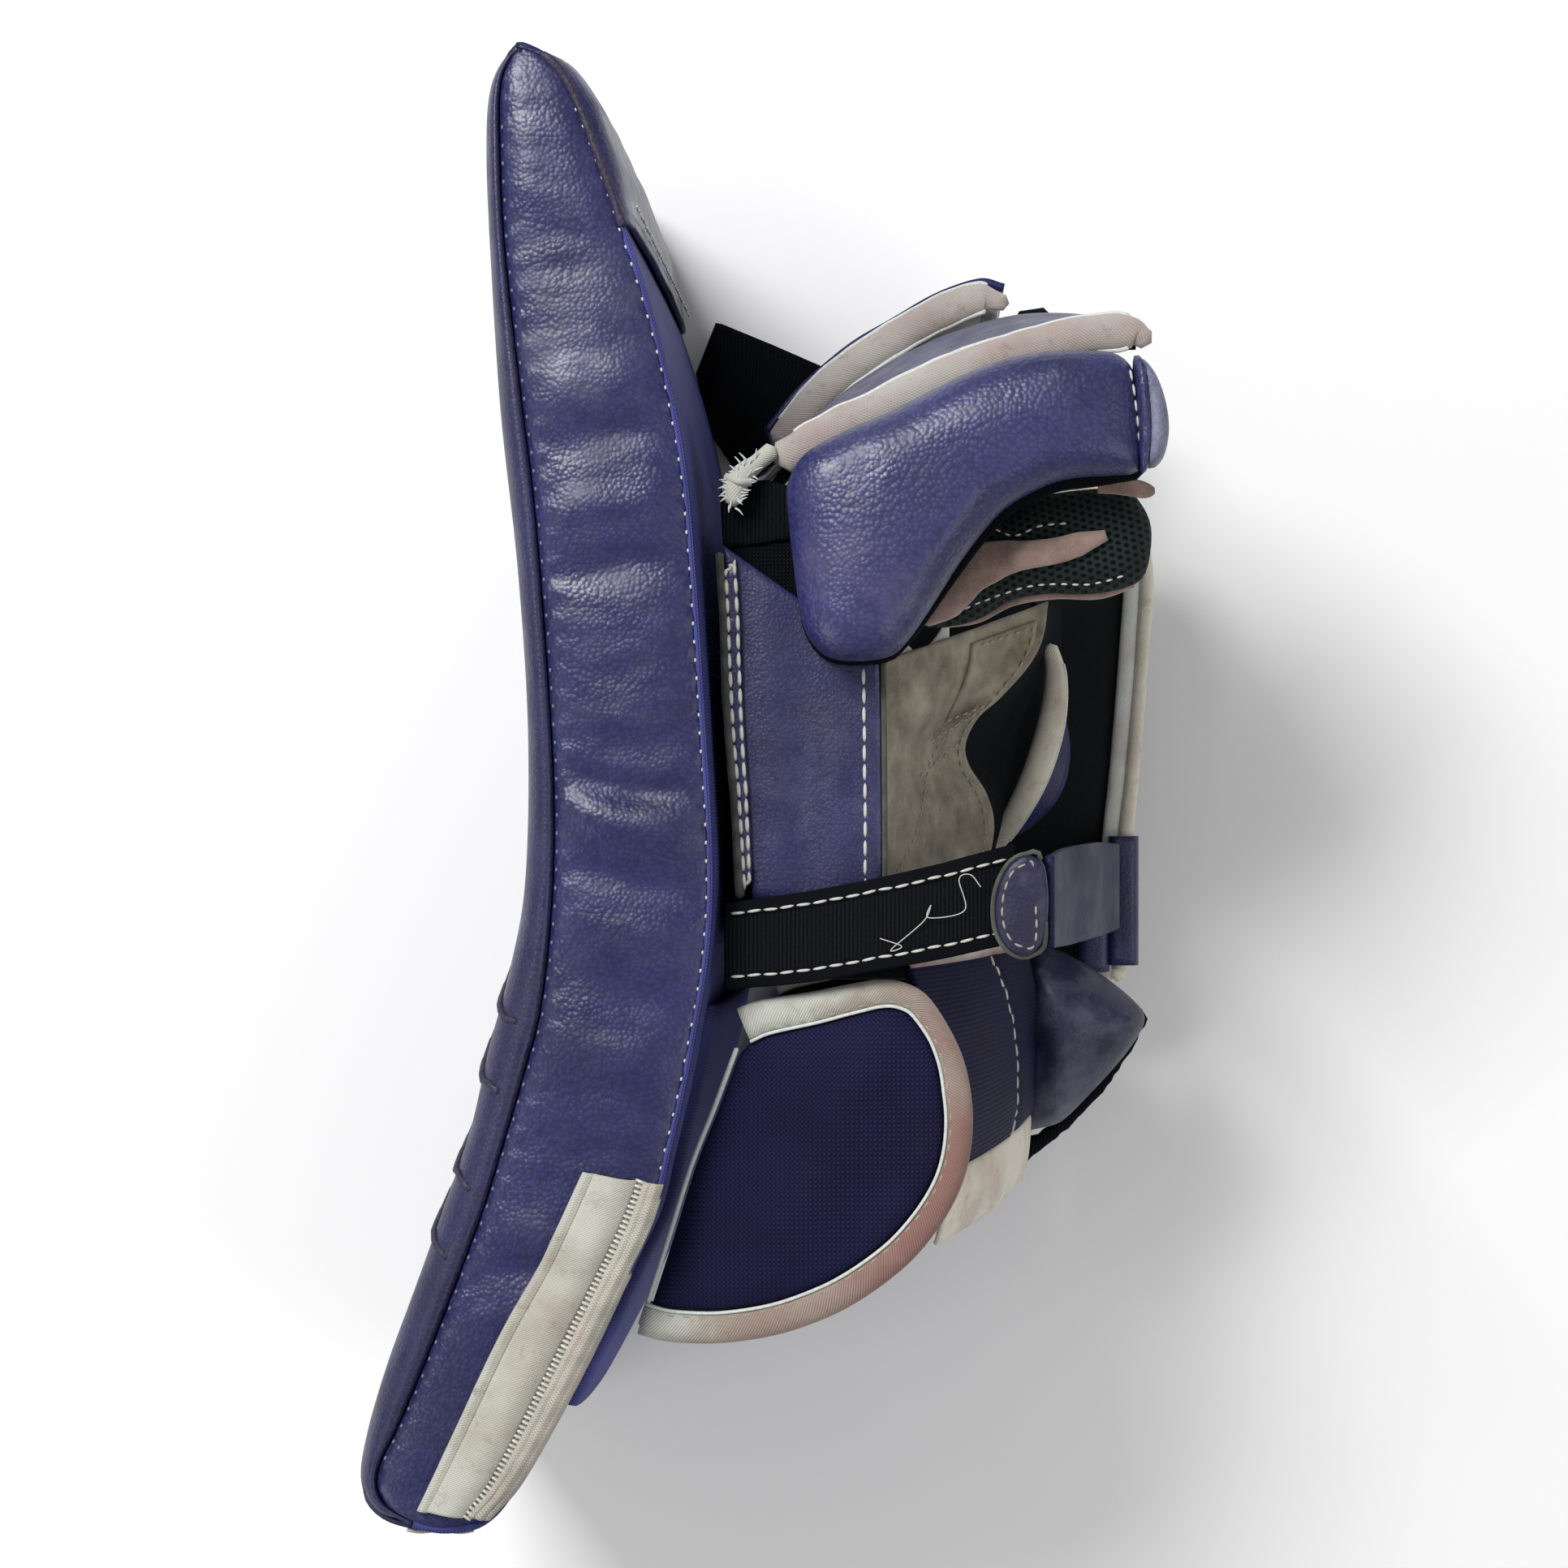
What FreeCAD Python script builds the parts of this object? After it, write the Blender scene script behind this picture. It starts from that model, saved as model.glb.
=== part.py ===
"""Ice hockey goalie blocker: a padded board with the glove, guards, cuff and wrist strap sewn to its back.

Row frame, millimetres. The blocker lies on the far long side of its board, which is the plane Z = 0.
+Y runs along the board towards the fingertips, +X from the board's striking face towards the palm,
+Z across the board towards the thumb. Outlines lie in the XY plane, and most pieces are plates or
shells that follow such an outline over a stretch of Z, as the real pieces are cut and sewn.
"""
import FreeCAD, Part
import math
import os

doc = FreeCAD.newDocument("blocker")

# ---------------------------------------------------------------- driving dimensions, in millimetres
CELLS = {
    # board
    "board_width": 203.0,        # the largest width the sport allows, 8 in
    "face_roll": 5.0,            # padded face, front to back
    "stiffener": 1.5,
    "side_wall": 3.5,
    "back_cloth": 1.6,
    # sewn sheet stock
    "leather": 3.0,
    "cloth": 1.5,
    "binding": 6.0,
    "sleeve_wall": 2.0,
    # depth of the sewn parts below the thumb edge of the board
    "panel_top": 181.5,
    "hem_top": 183.5,
    "gusset_top": 177.6,
    "wall_floor": 42.0,
    "flap_floor": 6.0,
    # thumb
    "thumb_guard_floor": 184.5,
    "thumb_guard_depth": 18.0,
    "thumb_base_floor": 182.2,
    "thumb_base_depth": 2.1,
    "thumb_sleeve_floor": 152.0,
    "thumb_sleeve_depth": 26.0,
    "thumb_trim_depth": 1.5,
    # index finger guard
    "index_floor": 128.0,
    "index_width": 50.0,
    "index_sleeve_floor": 140.0,
    "finger_width": 24.0,
    # guard over the other three fingers
    "fingers_floor": 14.0,
    "fingers_width": 86.0,
    "finger_pitch": 25.0,
    "far_sleeve_floor": 22.0,
    "far_sleeve_width": 20.0,
    # cuff
    "wing_inner": 177.5,
    "wing_depth": 8.0,
    "wing_lining": 1.5,
    "wing_foam": 5.0,
    "far_wing_outer": 1.0,
    "wrap_top": -52.0,
    "wrap_bottom": -100.0,
    "pad_floor": 58.0,
    "pad_depth": 38.0,
    # wrist strap
    "strap_floor": 187.0,
    "strap_thick": 2.6,
    "tab_floor": 190.6,
    "tab_thick": 2.4,
    "strap_top": -18.0,
    "strap_width": 24.0,
    "keeper_top": -17.0,
    "keeper_width": 39.0,
    # zip
    "zip_tape": 1.2,
    "zip_teeth": 1.4,
    "zip_slider_length": 11.0,
}

sheet = doc.addObject("Spreadsheet::Sheet", "dims")
for row, (alias, value) in enumerate(CELLS.items(), start=1):
    sheet.set(f"A{row}", alias)
    sheet.set(f"B{row}", str(value))
    sheet.setAlias(f"B{row}", alias)
doc.recompute()


# ---------------------------------------------------------------- outline helpers
def offset(points, distance):
    """The points of an open line moved to its left by distance; ends keep their own direction."""
    moved = []
    last = len(points) - 1
    for i, (x, y) in enumerate(points):
        ax, ay = points[max(i - 1, 0)]
        bx, by = points[min(i + 1, last)]
        run = math.hypot(bx - ax, by - ay)
        moved.append((x - (by - ay) / run * distance, y + (bx - ax) / run * distance))
    return moved


def between(side_a, side_b):
    """A closed outline between two open lines that run the same way."""
    return [("curve", side_a), ("curve", list(reversed(side_b)))]


def band(points, thickness):
    """A closed outline of even thickness along an open centre line."""
    return between(offset(points, thickness / 2), offset(points, -thickness / 2))


def polygon(points):
    """A closed outline of straight edges."""
    return [("line", points)]


def edges(outline):
    """Curves for an outline's stretches, with straight edges joining one stretch to the next."""
    made = []
    for kind, points in outline:
        vectors = [FreeCAD.Vector(x, y, 0) for x, y in points]
        if kind == "curve" and len(vectors) > 2:
            curve = Part.BSplineCurve()
            curve.interpolate(vectors)
            made.append(curve)
        else:
            made += [Part.LineSegment(a, b) for a, b in zip(vectors, vectors[1:])]
    joined = []
    for i, curve in enumerate(made):
        following = made[(i + 1) % len(made)]
        joined.append(curve)
        end = curve.EndPoint if hasattr(curve, "EndPoint") else curve.endPoint()
        start = following.StartPoint if hasattr(following, "StartPoint") else following.startPoint()
        if end.distanceToPoint(start) > 1e-6:
            joined.append(Part.LineSegment(end, start))
    return joined


# ---------------------------------------------------------------- solid helpers
def new_body(label):
    body = doc.addObject("PartDesign::Body", label)
    body.Label = label
    return body


def add_sketch(body, name, outline, level, plane="XY_Plane"):
    """A sketch of the outline, on one of the body's own planes, moved along its normal by level."""
    base = next(f for f in body.Origin.OriginFeatures if f.Role == plane)
    sketch = body.newObject("Sketcher::SketchObject", name)
    sketch.AttachmentSupport = [(base, "")]
    sketch.MapMode = "FlatFace"
    sketch.setExpression("AttachmentOffset.Base.z", level)
    for curve in edges(outline):
        sketch.addGeometry(curve, False)
    return sketch


def plate(label, outline, floor, depth, plane="XY_Plane"):
    """A Pad of an outline: floor and depth are spreadsheet expressions."""
    body = new_body(label)
    sketch = add_sketch(body, label + "_outline", outline, floor, plane)
    pad = body.newObject("PartDesign::Pad", label + "_pad")
    pad.Profile = sketch
    pad.setExpression("Length", depth)
    return body


def sleeve(label, line, width, floor, depth):
    """A sewn tube for a finger: a band along line, hollow, closed at its tip and open at its root."""
    body = plate(label, band(line, width), floor, depth)
    wall = CELLS["sleeve_wall"]
    (x, y), (next_x, next_y) = line[:2]
    root = (x - (next_x - x) * 0.4, y - (next_y - y) * 0.4)
    tip = ((line[-2][0] + line[-1][0] * 3) / 4, (line[-2][1] + line[-1][1] * 3) / 4)
    inside = band([root, *line[:-1], tip], width - 2 * wall)
    hollow = body.newObject("PartDesign::Pocket", label + "_hollow")
    hollow.Profile = add_sketch(body, label + "_inside", inside, f"{floor} + dims.sleeve_wall")
    hollow.Reversed = True
    hollow.setExpression("Length", f"{depth} - 2 * dims.sleeve_wall")
    return body


def across(label, outline, top, width):
    """A Pad of an outline drawn in XZ: it starts at Y = top and runs width towards -Y."""
    return plate(label, outline, f"-({top})", width, "XZ_Plane")


def shell(label, low_outline, high_outline, floor, ceiling):
    """A loft between an outline at Z = floor and one at Z = ceiling."""
    body = new_body(label)
    low = add_sketch(body, label + "_low", low_outline, floor)
    high = add_sketch(body, label + "_high", high_outline, ceiling)
    loft = body.newObject("PartDesign::AdditiveLoft", label + "_loft")
    loft.Profile = low
    loft.Sections = [high]
    loft.Ruled = True
    return body


def block(label, corner, size):
    """A Part box whose corner and size are spreadsheet expressions or plain millimetres."""
    box = doc.addObject("Part::Box", label)
    box.Label = label
    for name, value in zip(("Length", "Width", "Height"), size):
        box.setExpression(name, str(value))
    for axis, value in zip("xyz", corner):
        box.setExpression(f"Placement.Base.{axis}", str(value))
    return box


# ---------------------------------------------------------------- board
# The board's two faces, from the fingertip end to the cuff end. It is cranked at the wrist.
FACE = [(-36, 176), (-34.5, 140), (-31, 97), (-26.5, 56), (-23.5, 14), (-24.5, -24),
        (-31, -57), (-42, -96), (-54, -131), (-67, -172)]
BACK = [(-12, 176), (0, 146), (9, 118), (16, 87), (19.6, 55), (21.8, 18), (23.2, -18),
        (21.5, -45), (14.5, -84), (5, -117), (-8, -145), (-27, -172)]


def face(depth):
    """The striking face moved back into the board by depth."""
    return offset(FACE, depth)


def back(depth):
    """The back moved into the board by depth, or out of it where depth is negative."""
    return offset(BACK, -depth)


def make_board():
    roll = CELLS["face_roll"]
    core_front = roll + CELLS["stiffener"]
    cloth = CELLS["back_cloth"]
    inside = "dims.board_width - 2 * dims.side_wall"
    plate("face_panel", between(face(0), face(roll)), "0", "dims.board_width")
    plate("face_stiffener", between(face(roll), face(core_front)), "dims.side_wall", inside)
    plate("board_foam_core", between(face(core_front), back(cloth)), "dims.side_wall", inside)
    plate("back_cloth_panel", between(back(cloth), back(0)), "dims.side_wall", inside)
    wall = between(face(roll), back(0))
    plate("side_wall_far", wall, "0", "dims.side_wall")
    plate("side_wall_near", wall, "dims.board_width - dims.side_wall", "dims.side_wall")
    tip = [("curve", [(-36, 176.8), (-34, 184), (-26, 190), (-18, 186.5), (-12, 176.8)])]
    plate("fingertip_end_cap", tip, "0", "dims.board_width")
    heel = [("line", [(-67, -174.6), (-67, -182), (-61, -189), (-36, -189), (-28, -174.6)])]
    plate("cuff_end_cap", heel, "0", "dims.board_width")


# ---------------------------------------------------------------- zip that closes the board's cover
ZIP_SIDE = [(-10.5, -98), (10.5, -101), (8, -111), (1.5, -125), (-10, -149), (-25.5, -174),
            (-36, -188.5), (-55, -188.5), (-42.5, -163), (-32, -141), (-21.5, -122)]
ZIP_TEETH = [(3, -101), (-3, -118), (-15, -143), (-29, -167), (-41, -187)]
ZIP_END_Y = -189.0       # the cuff end's flat
ZIP_END_X = -47.0        # middle of the teeth across that end


def make_zip():
    top = "dims.board_width"
    teeth_y = ZIP_END_Y - CELLS["zip_tape"]
    slider_y = teeth_y - CELLS["zip_teeth"]
    plate("zip_tape_side", polygon(ZIP_SIDE), top, "dims.zip_tape")
    plate("zip_teeth_side", band(ZIP_TEETH, 2.6), top + " + dims.zip_tape", "dims.zip_teeth")
    block("zip_tape_end", (ZIP_END_X - 9, teeth_y, 6), (18, "dims.zip_tape", "dims.board_width - 6"))
    block("zip_teeth_end", (ZIP_END_X - 1.3, slider_y, 8),
          (2.6, "dims.zip_teeth", "dims.board_width - 10"))
    block("zip_slider", (ZIP_END_X - 4, slider_y - 2.1, 30), (8, 2.0, "dims.zip_slider_length"))
    block("zip_pull", (ZIP_END_X - 2.5, slider_y - 3.4, 12), (5, 1.2, 24))


# ---------------------------------------------------------------- hand compartment on the board's back
BACK_CLEAR = 24.2        # X just behind the back cloth over the hand's length
PALM_NEAR_Z = 178.2
PALM_FAR_Z = 52.0


def palm_near(x_out, thickness):
    low, high = -24, 31
    x = 64 + x_out
    return polygon([(x, low), (x + thickness, low), (x + thickness, high), (x, high), (x, low)])


def palm_far(x_out, thickness):
    x_low, x_high = 91 + x_out, 117 + x_out
    return polygon([(x_low, -24), (x_low + thickness, -24), (x_high + thickness, 56),
                    (x_high, 56), (x_low, -24)])


def palm_layer(label, x_out, thickness):
    """One sheet of the palm. It leans away from the board as it crosses to the little finger."""
    return shell(label, palm_far(x_out, thickness), palm_near(x_out, thickness),
                 str(PALM_FAR_Z), str(PALM_NEAR_Z))


def make_hand():
    x = BACK_CLEAR
    side = [(x, 64), (48, 47), (66, 33), (66.5, 14), (66.8, -30), (x, -30), (x, 64)]
    plate("side_panel", polygon(side), "dims.panel_top - dims.leather", "dims.leather")
    hem = [(x, 62), (27.5, 61), (31.5, -27), (27, -29), (x, -26), (x, 62)]
    plate("side_panel_hem", polygon(hem), "dims.panel_top", "dims.hem_top - dims.panel_top")
    gusset = [(x, 46), (x, 74), (46, 74), (60, 40), (x, 46)]
    plate("side_gusset", polygon(gusset), "dims.gusset_top - dims.cloth", "dims.cloth")
    block("backhand_pad", (x, -44, 62), (9, 116, 110))
    block("glove_back", (x + 9.2, -44, 58), (1.6, 118, 117))
    palm_layer("palm_base", 0, 2.0)
    palm_layer("palm_suede", 2.1, 1.5)
    flap = [(2, 152), (8, 154), (47, 139), (32, 116), (20, 100), (17, 104), (12, 122), (2, 152)]
    plate("finger_end_flap", polygon(flap), "dims.flap_floor", "dims.leather")


WALL = [(29.5, -60), (134, -60), (136, -20), (138, 5), (141, 42), (142, 70), (134, 86),
        (116, 86), (104, 62), (24.2, 62), (24.2, -38), (29.5, -44), (29.5, -60)]
WALL_EDGE = [(137, -59), (138.5, -20), (140.5, 5), (143.5, 42), (143.6, 68), (138, 84), (124, 90)]


def make_far_wall():
    plate("far_wall", polygon(WALL), "dims.wall_floor", "dims.leather")
    plate("far_wall_binding", band(WALL_EDGE, CELLS["binding"]),
          "dims.wall_floor + dims.leather + 0.1", "5")
    crescent = [(98, -17), (108, -2), (115.5, 18), (116, 38)]
    plate("heel_flap", band(crescent, 8), "72", "4.9")
    plate("heel_flap_binding", band(crescent, 8), "77", "dims.binding")


# ---------------------------------------------------------------- thumb, which swings on its root
THUMB_TOP = [(42, 78), (46, 84.5), (69, 95), (90, 105), (109, 110.5), (126, 110), (131, 104), (133.5, 81)]
THUMB_LOW = [(42, 78), (43, 57), (46, 40), (52, 33.4), (60, 32.2), (67, 32.8), (74, 38.5), (82, 49.5),
             (94, 66), (105, 74.5), (119, 79), (133.5, 81)]


def make_thumb():
    rim = [("curve", THUMB_TOP[:6]), ("line", THUMB_TOP[5:]), ("curve", list(reversed(THUMB_LOW)))]
    plate("thumb_guard", rim, "dims.thumb_guard_floor", "dims.thumb_guard_depth")
    base_top = [(x + 1.5, y - 2) for x, y in THUMB_TOP[:6]]
    base_low = [(x + 1, y + 1.5) for x, y in THUMB_LOW[1:-1]]
    plate("thumb_guard_base", between(base_top, base_low), "dims.thumb_base_floor", "dims.thumb_base_depth")
    cap = [("line", [(133.8, 81), (131.3, 104)]),
           ("curve", [(131.3, 104), (137, 103), (140, 94), (138.5, 85), (133.8, 81)])]
    plate("thumb_guard_cap", cap, "dims.thumb_guard_floor", "dims.thumb_guard_depth - 1.5")
    top = [(73.5, 43), (82, 60), (97, 76), (116, 79.5), (131, 79.5)]
    low = [(80, 41.8), (88, 43), (102, 49.5), (118, 51), (135.5, 55)]
    sleeve = [("curve", top), ("line", [(131, 79.5), (137, 70), (135.5, 55)]), ("curve", list(reversed(low)))]
    plate("thumb_sleeve", sleeve, "dims.thumb_sleeve_floor", "dims.thumb_sleeve_depth")
    insert = band([(81, 46), (87, 53), (98, 59), (110, 62), (122, 64.5)], 6)
    trim_floor = "dims.thumb_sleeve_floor + dims.thumb_sleeve_depth + 0.1"
    plate("thumb_suede", insert, trim_floor, "dims.thumb_trim_depth")
    pull = [(122, 81.6), (135.5, 79), (137, 76), (124, 77.5), (122, 81.6)]
    plate("thumb_pull_tab", polygon(pull), trim_floor, "dims.thumb_trim_depth + 1")


# ---------------------------------------------------------------- finger guards, hinged at the knuckles
INDEX_NEAR = [(30, 83), (39, 91.5), (59, 101.5), (80, 113), (101, 120.5), (119, 124.5), (134, 124)]
INDEX_FAR = [(30, 92), (40, 103), (56, 116.5), (80, 130), (102, 136.5), (120, 136.8), (132, 133)]
FINGERS = [(31, 104), (44, 119), (60, 131), (79, 142), (93, 147), (101, 145)]
SHEETS = (("shell", 0.0, 2.6), ("insert", 2.8, 1.6), ("foam", 4.6, 4.0))   # name, depth below the outside, thickness


def sheet_outline(line, depth, thickness):
    """A layer of a guard, measured down from its outer line."""
    return between(offset(line, -depth), offset(line, -depth - thickness))


def make_index_guard():
    ceiling = "dims.index_floor + dims.index_width"
    for name, depth, thickness in SHEETS:
        shell(f"index_guard_{name}", sheet_outline(INDEX_FAR, depth, thickness),
              sheet_outline(INDEX_NEAR, depth, thickness), "dims.index_floor", ceiling)
    plate("index_guard_binding", sheet_outline(INDEX_NEAR, -0.4, 8.2), ceiling + " + 0.1", "dims.binding")
    finger = [(48, 79), (66, 89.5), (86, 98.5), (106, 103.5), (122, 105)]
    sleeve("index_sleeve", finger, 16, "dims.index_sleeve_floor", "dims.finger_width")


def make_finger_guard():
    for name, depth, thickness in SHEETS:
        plate(f"finger_guard_{name}", sheet_outline(FINGERS, depth, thickness),
              "dims.fingers_floor", "dims.fingers_width")
    rim = sheet_outline(FINGERS, -0.4, 9)
    plate("finger_guard_binding", rim, "dims.fingers_floor + dims.fingers_width + 0.1", "dims.binding - 1")
    finger = [(44, 91), (57, 104.5), (73, 116.5), (91, 125.5), (107, 128.5)]
    for place, name in enumerate(("little", "ring", "middle")):
        sleeve(f"{name}_finger_sleeve", finger, 16,
               f"dims.far_sleeve_floor + {place} * dims.finger_pitch", "dims.far_sleeve_width")


# ---------------------------------------------------------------- cuff
WING = [(27, -68), (31, -58), (48, -56), (65, -55), (77.5, -59), (85.5, -69), (90, -87), (87, -105),
        (76, -122), (57, -136.5), (38, -143.5), (20, -145.5), (3, -143.5)]


def make_wing(side, floor, linings):
    """A cuff wing: foam between two cloth sheets, with a bound edge. linings are the two sheets' names."""
    inner = offset(WING, -CELLS["binding"])
    inner[0], inner[-1] = (25.7, -72), (5, -137.2)
    core = [("curve", inner)]
    under = "dims.wing_lining"
    plate(f"{side}_wing_{linings[0]}", core, floor, under)
    plate(f"{side}_wing_foam", core, f"{floor} + {under}", "dims.wing_foam")
    plate(f"{side}_wing_{linings[1]}", core, f"{floor} + {under} + dims.wing_foam", under)
    plate(f"{side}_wing_binding", between(WING, inner), floor, "dims.wing_depth")


def make_cuff():
    make_wing("near", "dims.wing_inner", ("lining", "cover"))
    make_wing("far", "dims.far_wing_outer", ("cover", "lining"))
    seat = between([(x + 0.4, y) for x, y in BACK[7:11]], [(x + 6.4, y) for x, y in BACK[7:11]])
    plate("cuff_back_pad", seat, "12", "165")
    wrap = [(98, 100), (93, 120), (85, 144), (73, 168)]
    across("wrist_wrap", band(wrap, 4), "dims.wrap_top", "dims.wrap_top - dims.wrap_bottom")
    pad = [(104, -52), (111, -47.5), (123, -51.5), (137, -61), (142, -69), (134, -82), (124, -93),
           (113, -100.5), (105, -101.5), (103, -78), (104, -52)]
    plate("wrist_pad", [("curve", pad[:10]), ("line", pad[9:])], "dims.pad_floor", "dims.pad_depth")
    hook = [(103, -106), (122, -96), (139, -68), (143, -74), (130, -96), (108, -114), (103, -106)]
    plate("wrist_hook_strip", polygon(hook), "dims.pad_floor - 5.2", "5")


# ---------------------------------------------------------------- wrist strap
def make_strap():
    loop = [(24.2, -30.5), (63, -25), (101, -15.5), (99, -41.5), (66, -49.5), (24.2, -53), (24.2, -30.5)]
    plate("strap_loop_band", polygon(loop), "dims.strap_floor", "dims.strap_thick")
    run = [(133, 56), (129, 90), (120, 136), (110.5, 178), (107.6, 189.4)]
    across("strap_leather", band(run, 2.4), "dims.strap_top", "dims.strap_width")
    tab = [("line", [(107, -18.5), (107, -41.5)]),
           ("curve", [(107, -41.5), (100, -43), (96, -38), (95.4, -29), (98, -22), (107, -18.5)])]
    plate("strap_tab", tab, "dims.tab_floor", "dims.tab_thick")
    keeper = [(126, 38), (145, 38), (145, 54), (126, 54), (126, 52), (143, 52), (143, 40), (126, 40), (126, 38)]
    across("strap_keeper", polygon(keeper), "dims.keeper_top", "dims.keeper_width")


make_board()
make_zip()
make_hand()
make_far_wall()
make_thumb()
make_index_guard()
make_finger_guard()
make_cuff()
make_strap()
doc.recompute()


# ---------------------------------------------------------------- check and write
def is_piece(item):
    return item.TypeId in ("PartDesign::Body", "Part::Box")


bad = [o.Name for o in doc.Objects if "Invalid" in o.State or "Error" in o.State]
pieces = [o for o in doc.Objects if is_piece(o)]
bad += [o.Label for o in pieces if o.Shape.isNull() or not o.Shape.isValid() or o.Shape.Volume <= 0]
if bad:
    raise SystemExit(f"failed objects: {bad}")

os.makedirs("parts", exist_ok=True)
for old in os.listdir("parts"):
    os.remove(os.path.join("parts", old))
for piece in pieces:
    piece.Shape.exportStep(os.path.join("parts", piece.Label + ".step"))
print(len(pieces), "pieces written")
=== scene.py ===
"""Looks for the goalie blocker. Shapes are drawn in millimetres in the CAD frame: X from the striking
face to the palm, Y towards the fingertips, Z across the board towards the thumb, which is up."""
import math

import bmesh
import bpy
import numpy as np
from mathutils import Matrix, Vector, noise
from mathutils.bvhtree import BVHTree
from mathutils.geometry import delaunay_2d_cdt


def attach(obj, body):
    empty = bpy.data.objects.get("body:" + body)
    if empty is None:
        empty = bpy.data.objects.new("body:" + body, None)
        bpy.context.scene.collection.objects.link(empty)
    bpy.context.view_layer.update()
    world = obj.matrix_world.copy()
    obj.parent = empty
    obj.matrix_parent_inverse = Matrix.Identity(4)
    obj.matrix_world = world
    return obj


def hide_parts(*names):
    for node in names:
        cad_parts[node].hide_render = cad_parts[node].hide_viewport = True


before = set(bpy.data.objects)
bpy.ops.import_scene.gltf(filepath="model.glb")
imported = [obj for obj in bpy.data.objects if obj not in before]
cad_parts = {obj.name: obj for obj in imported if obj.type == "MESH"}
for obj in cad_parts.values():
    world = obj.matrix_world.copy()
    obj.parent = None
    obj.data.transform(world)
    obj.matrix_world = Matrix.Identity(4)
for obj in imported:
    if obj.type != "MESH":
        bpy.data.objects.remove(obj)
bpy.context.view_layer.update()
MM = 0.001


# ---------------------------------------------------------------- curves
def smooth_line(points, count):
    """count points evenly spaced along a Catmull-Rom curve through the given ones, of any dimension."""
    p = np.array(points, float)
    ends = np.vstack([2 * p[0] - p[1], p, 2 * p[-1] - p[-2]])
    fine = []
    for i in range(1, len(ends) - 2):
        a, b, c, d = ends[i - 1:i + 3]
        for t in np.linspace(0, 1, 24, endpoint=False):
            fine.append(0.5 * (2 * b + (c - a) * t + (2 * a - 5 * b + 4 * c - d) * t ** 2
                               + (3 * b - a - 3 * c + d) * t ** 3))
    fine.append(p[-1])
    return even(np.array(fine), count)


def even(points, count):
    """count points evenly spaced along a polyline."""
    steps = np.linalg.norm(np.diff(points, axis=0), axis=1)
    at = np.concatenate([[0], np.cumsum(steps)])
    want = np.linspace(0, at[-1], count)
    return np.stack([np.interp(want, at, points[:, k]) for k in range(points.shape[1])], axis=1)


def closed_line(points, step=2.0):
    """A smooth closed outline through the given points, about step apart."""
    p = np.array(points, float)
    ring = []
    for i in range(len(p)):
        a, b, c, d = p[i - 1], p[i], p[(i + 1) % len(p)], p[(i + 2) % len(p)]
        for t in np.linspace(0, 1, 16, endpoint=False):
            ring.append(0.5 * (2 * b + (c - a) * t + (2 * a - 5 * b + 4 * c - d) * t ** 2
                               + (3 * b - a - 3 * c + d) * t ** 3))
    ring = np.array(ring + [ring[0]])
    length = np.linalg.norm(np.diff(ring, axis=0), axis=1).sum()
    return even(ring, max(12, int(length / step)) + 1)[:-1]


def corner_line(points, step=2.0):
    """A closed outline of straight edges with points about step apart."""
    p = np.array(list(points) + [points[0]], float)
    made = []
    for a, b in zip(p, p[1:]):
        n = max(1, int(np.linalg.norm(b - a) / step))
        made += [a + (b - a) * i / n for i in range(n)]
    return np.array(made)


def left_of(line):
    """Unit normals to the left of an open line in XY."""
    along = np.gradient(line[:, :2], axis=0)
    along /= np.linalg.norm(along, axis=1)[:, None]
    return np.stack([-along[:, 1], along[:, 0]], axis=1)


def ripple(x, y, z=0.0, size=10.0, seed=0.0):
    """Smooth noise of about -1 to 1 whose lumps are size across."""
    return noise.noise(Vector((x / size + seed * 17.3, y / size - seed * 5.1, z / size + seed)))


def bump_at(value, centre, width):
    return math.exp(-((value - centre) / width) ** 2)


# ---------------------------------------------------------------- meshes
def make_piece(name, verts, faces, material, uvs=None):
    """A mesh object from millimetre points. uvs is one (u, v) in millimetres for each point."""
    mesh = bpy.data.meshes.new(name)
    mesh.from_pydata([tuple(float(c) * MM for c in v) for v in verts], [],
                     [tuple(map(int, f)) for f in faces])
    layer = mesh.uv_layers.new(name="UVMap")
    source = verts if uvs is None else uvs
    index = np.empty(len(mesh.loops), int)
    mesh.loops.foreach_get("vertex_index", index)
    flat = np.array([(q[0], q[1]) for q in source], float)[index] * MM
    layer.data.foreach_set("uv", flat.ravel())
    mesh.materials.append(material)
    mesh.polygons.foreach_set("use_smooth", [True] * len(mesh.polygons))
    obj = bpy.data.objects.new(name, mesh)
    bpy.context.scene.collection.objects.link(obj)
    tidy = bmesh.new()
    tidy.from_mesh(mesh)
    bmesh.ops.recalc_face_normals(tidy, faces=tidy.faces)
    tidy.to_mesh(mesh)
    tidy.free()
    return obj


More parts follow.
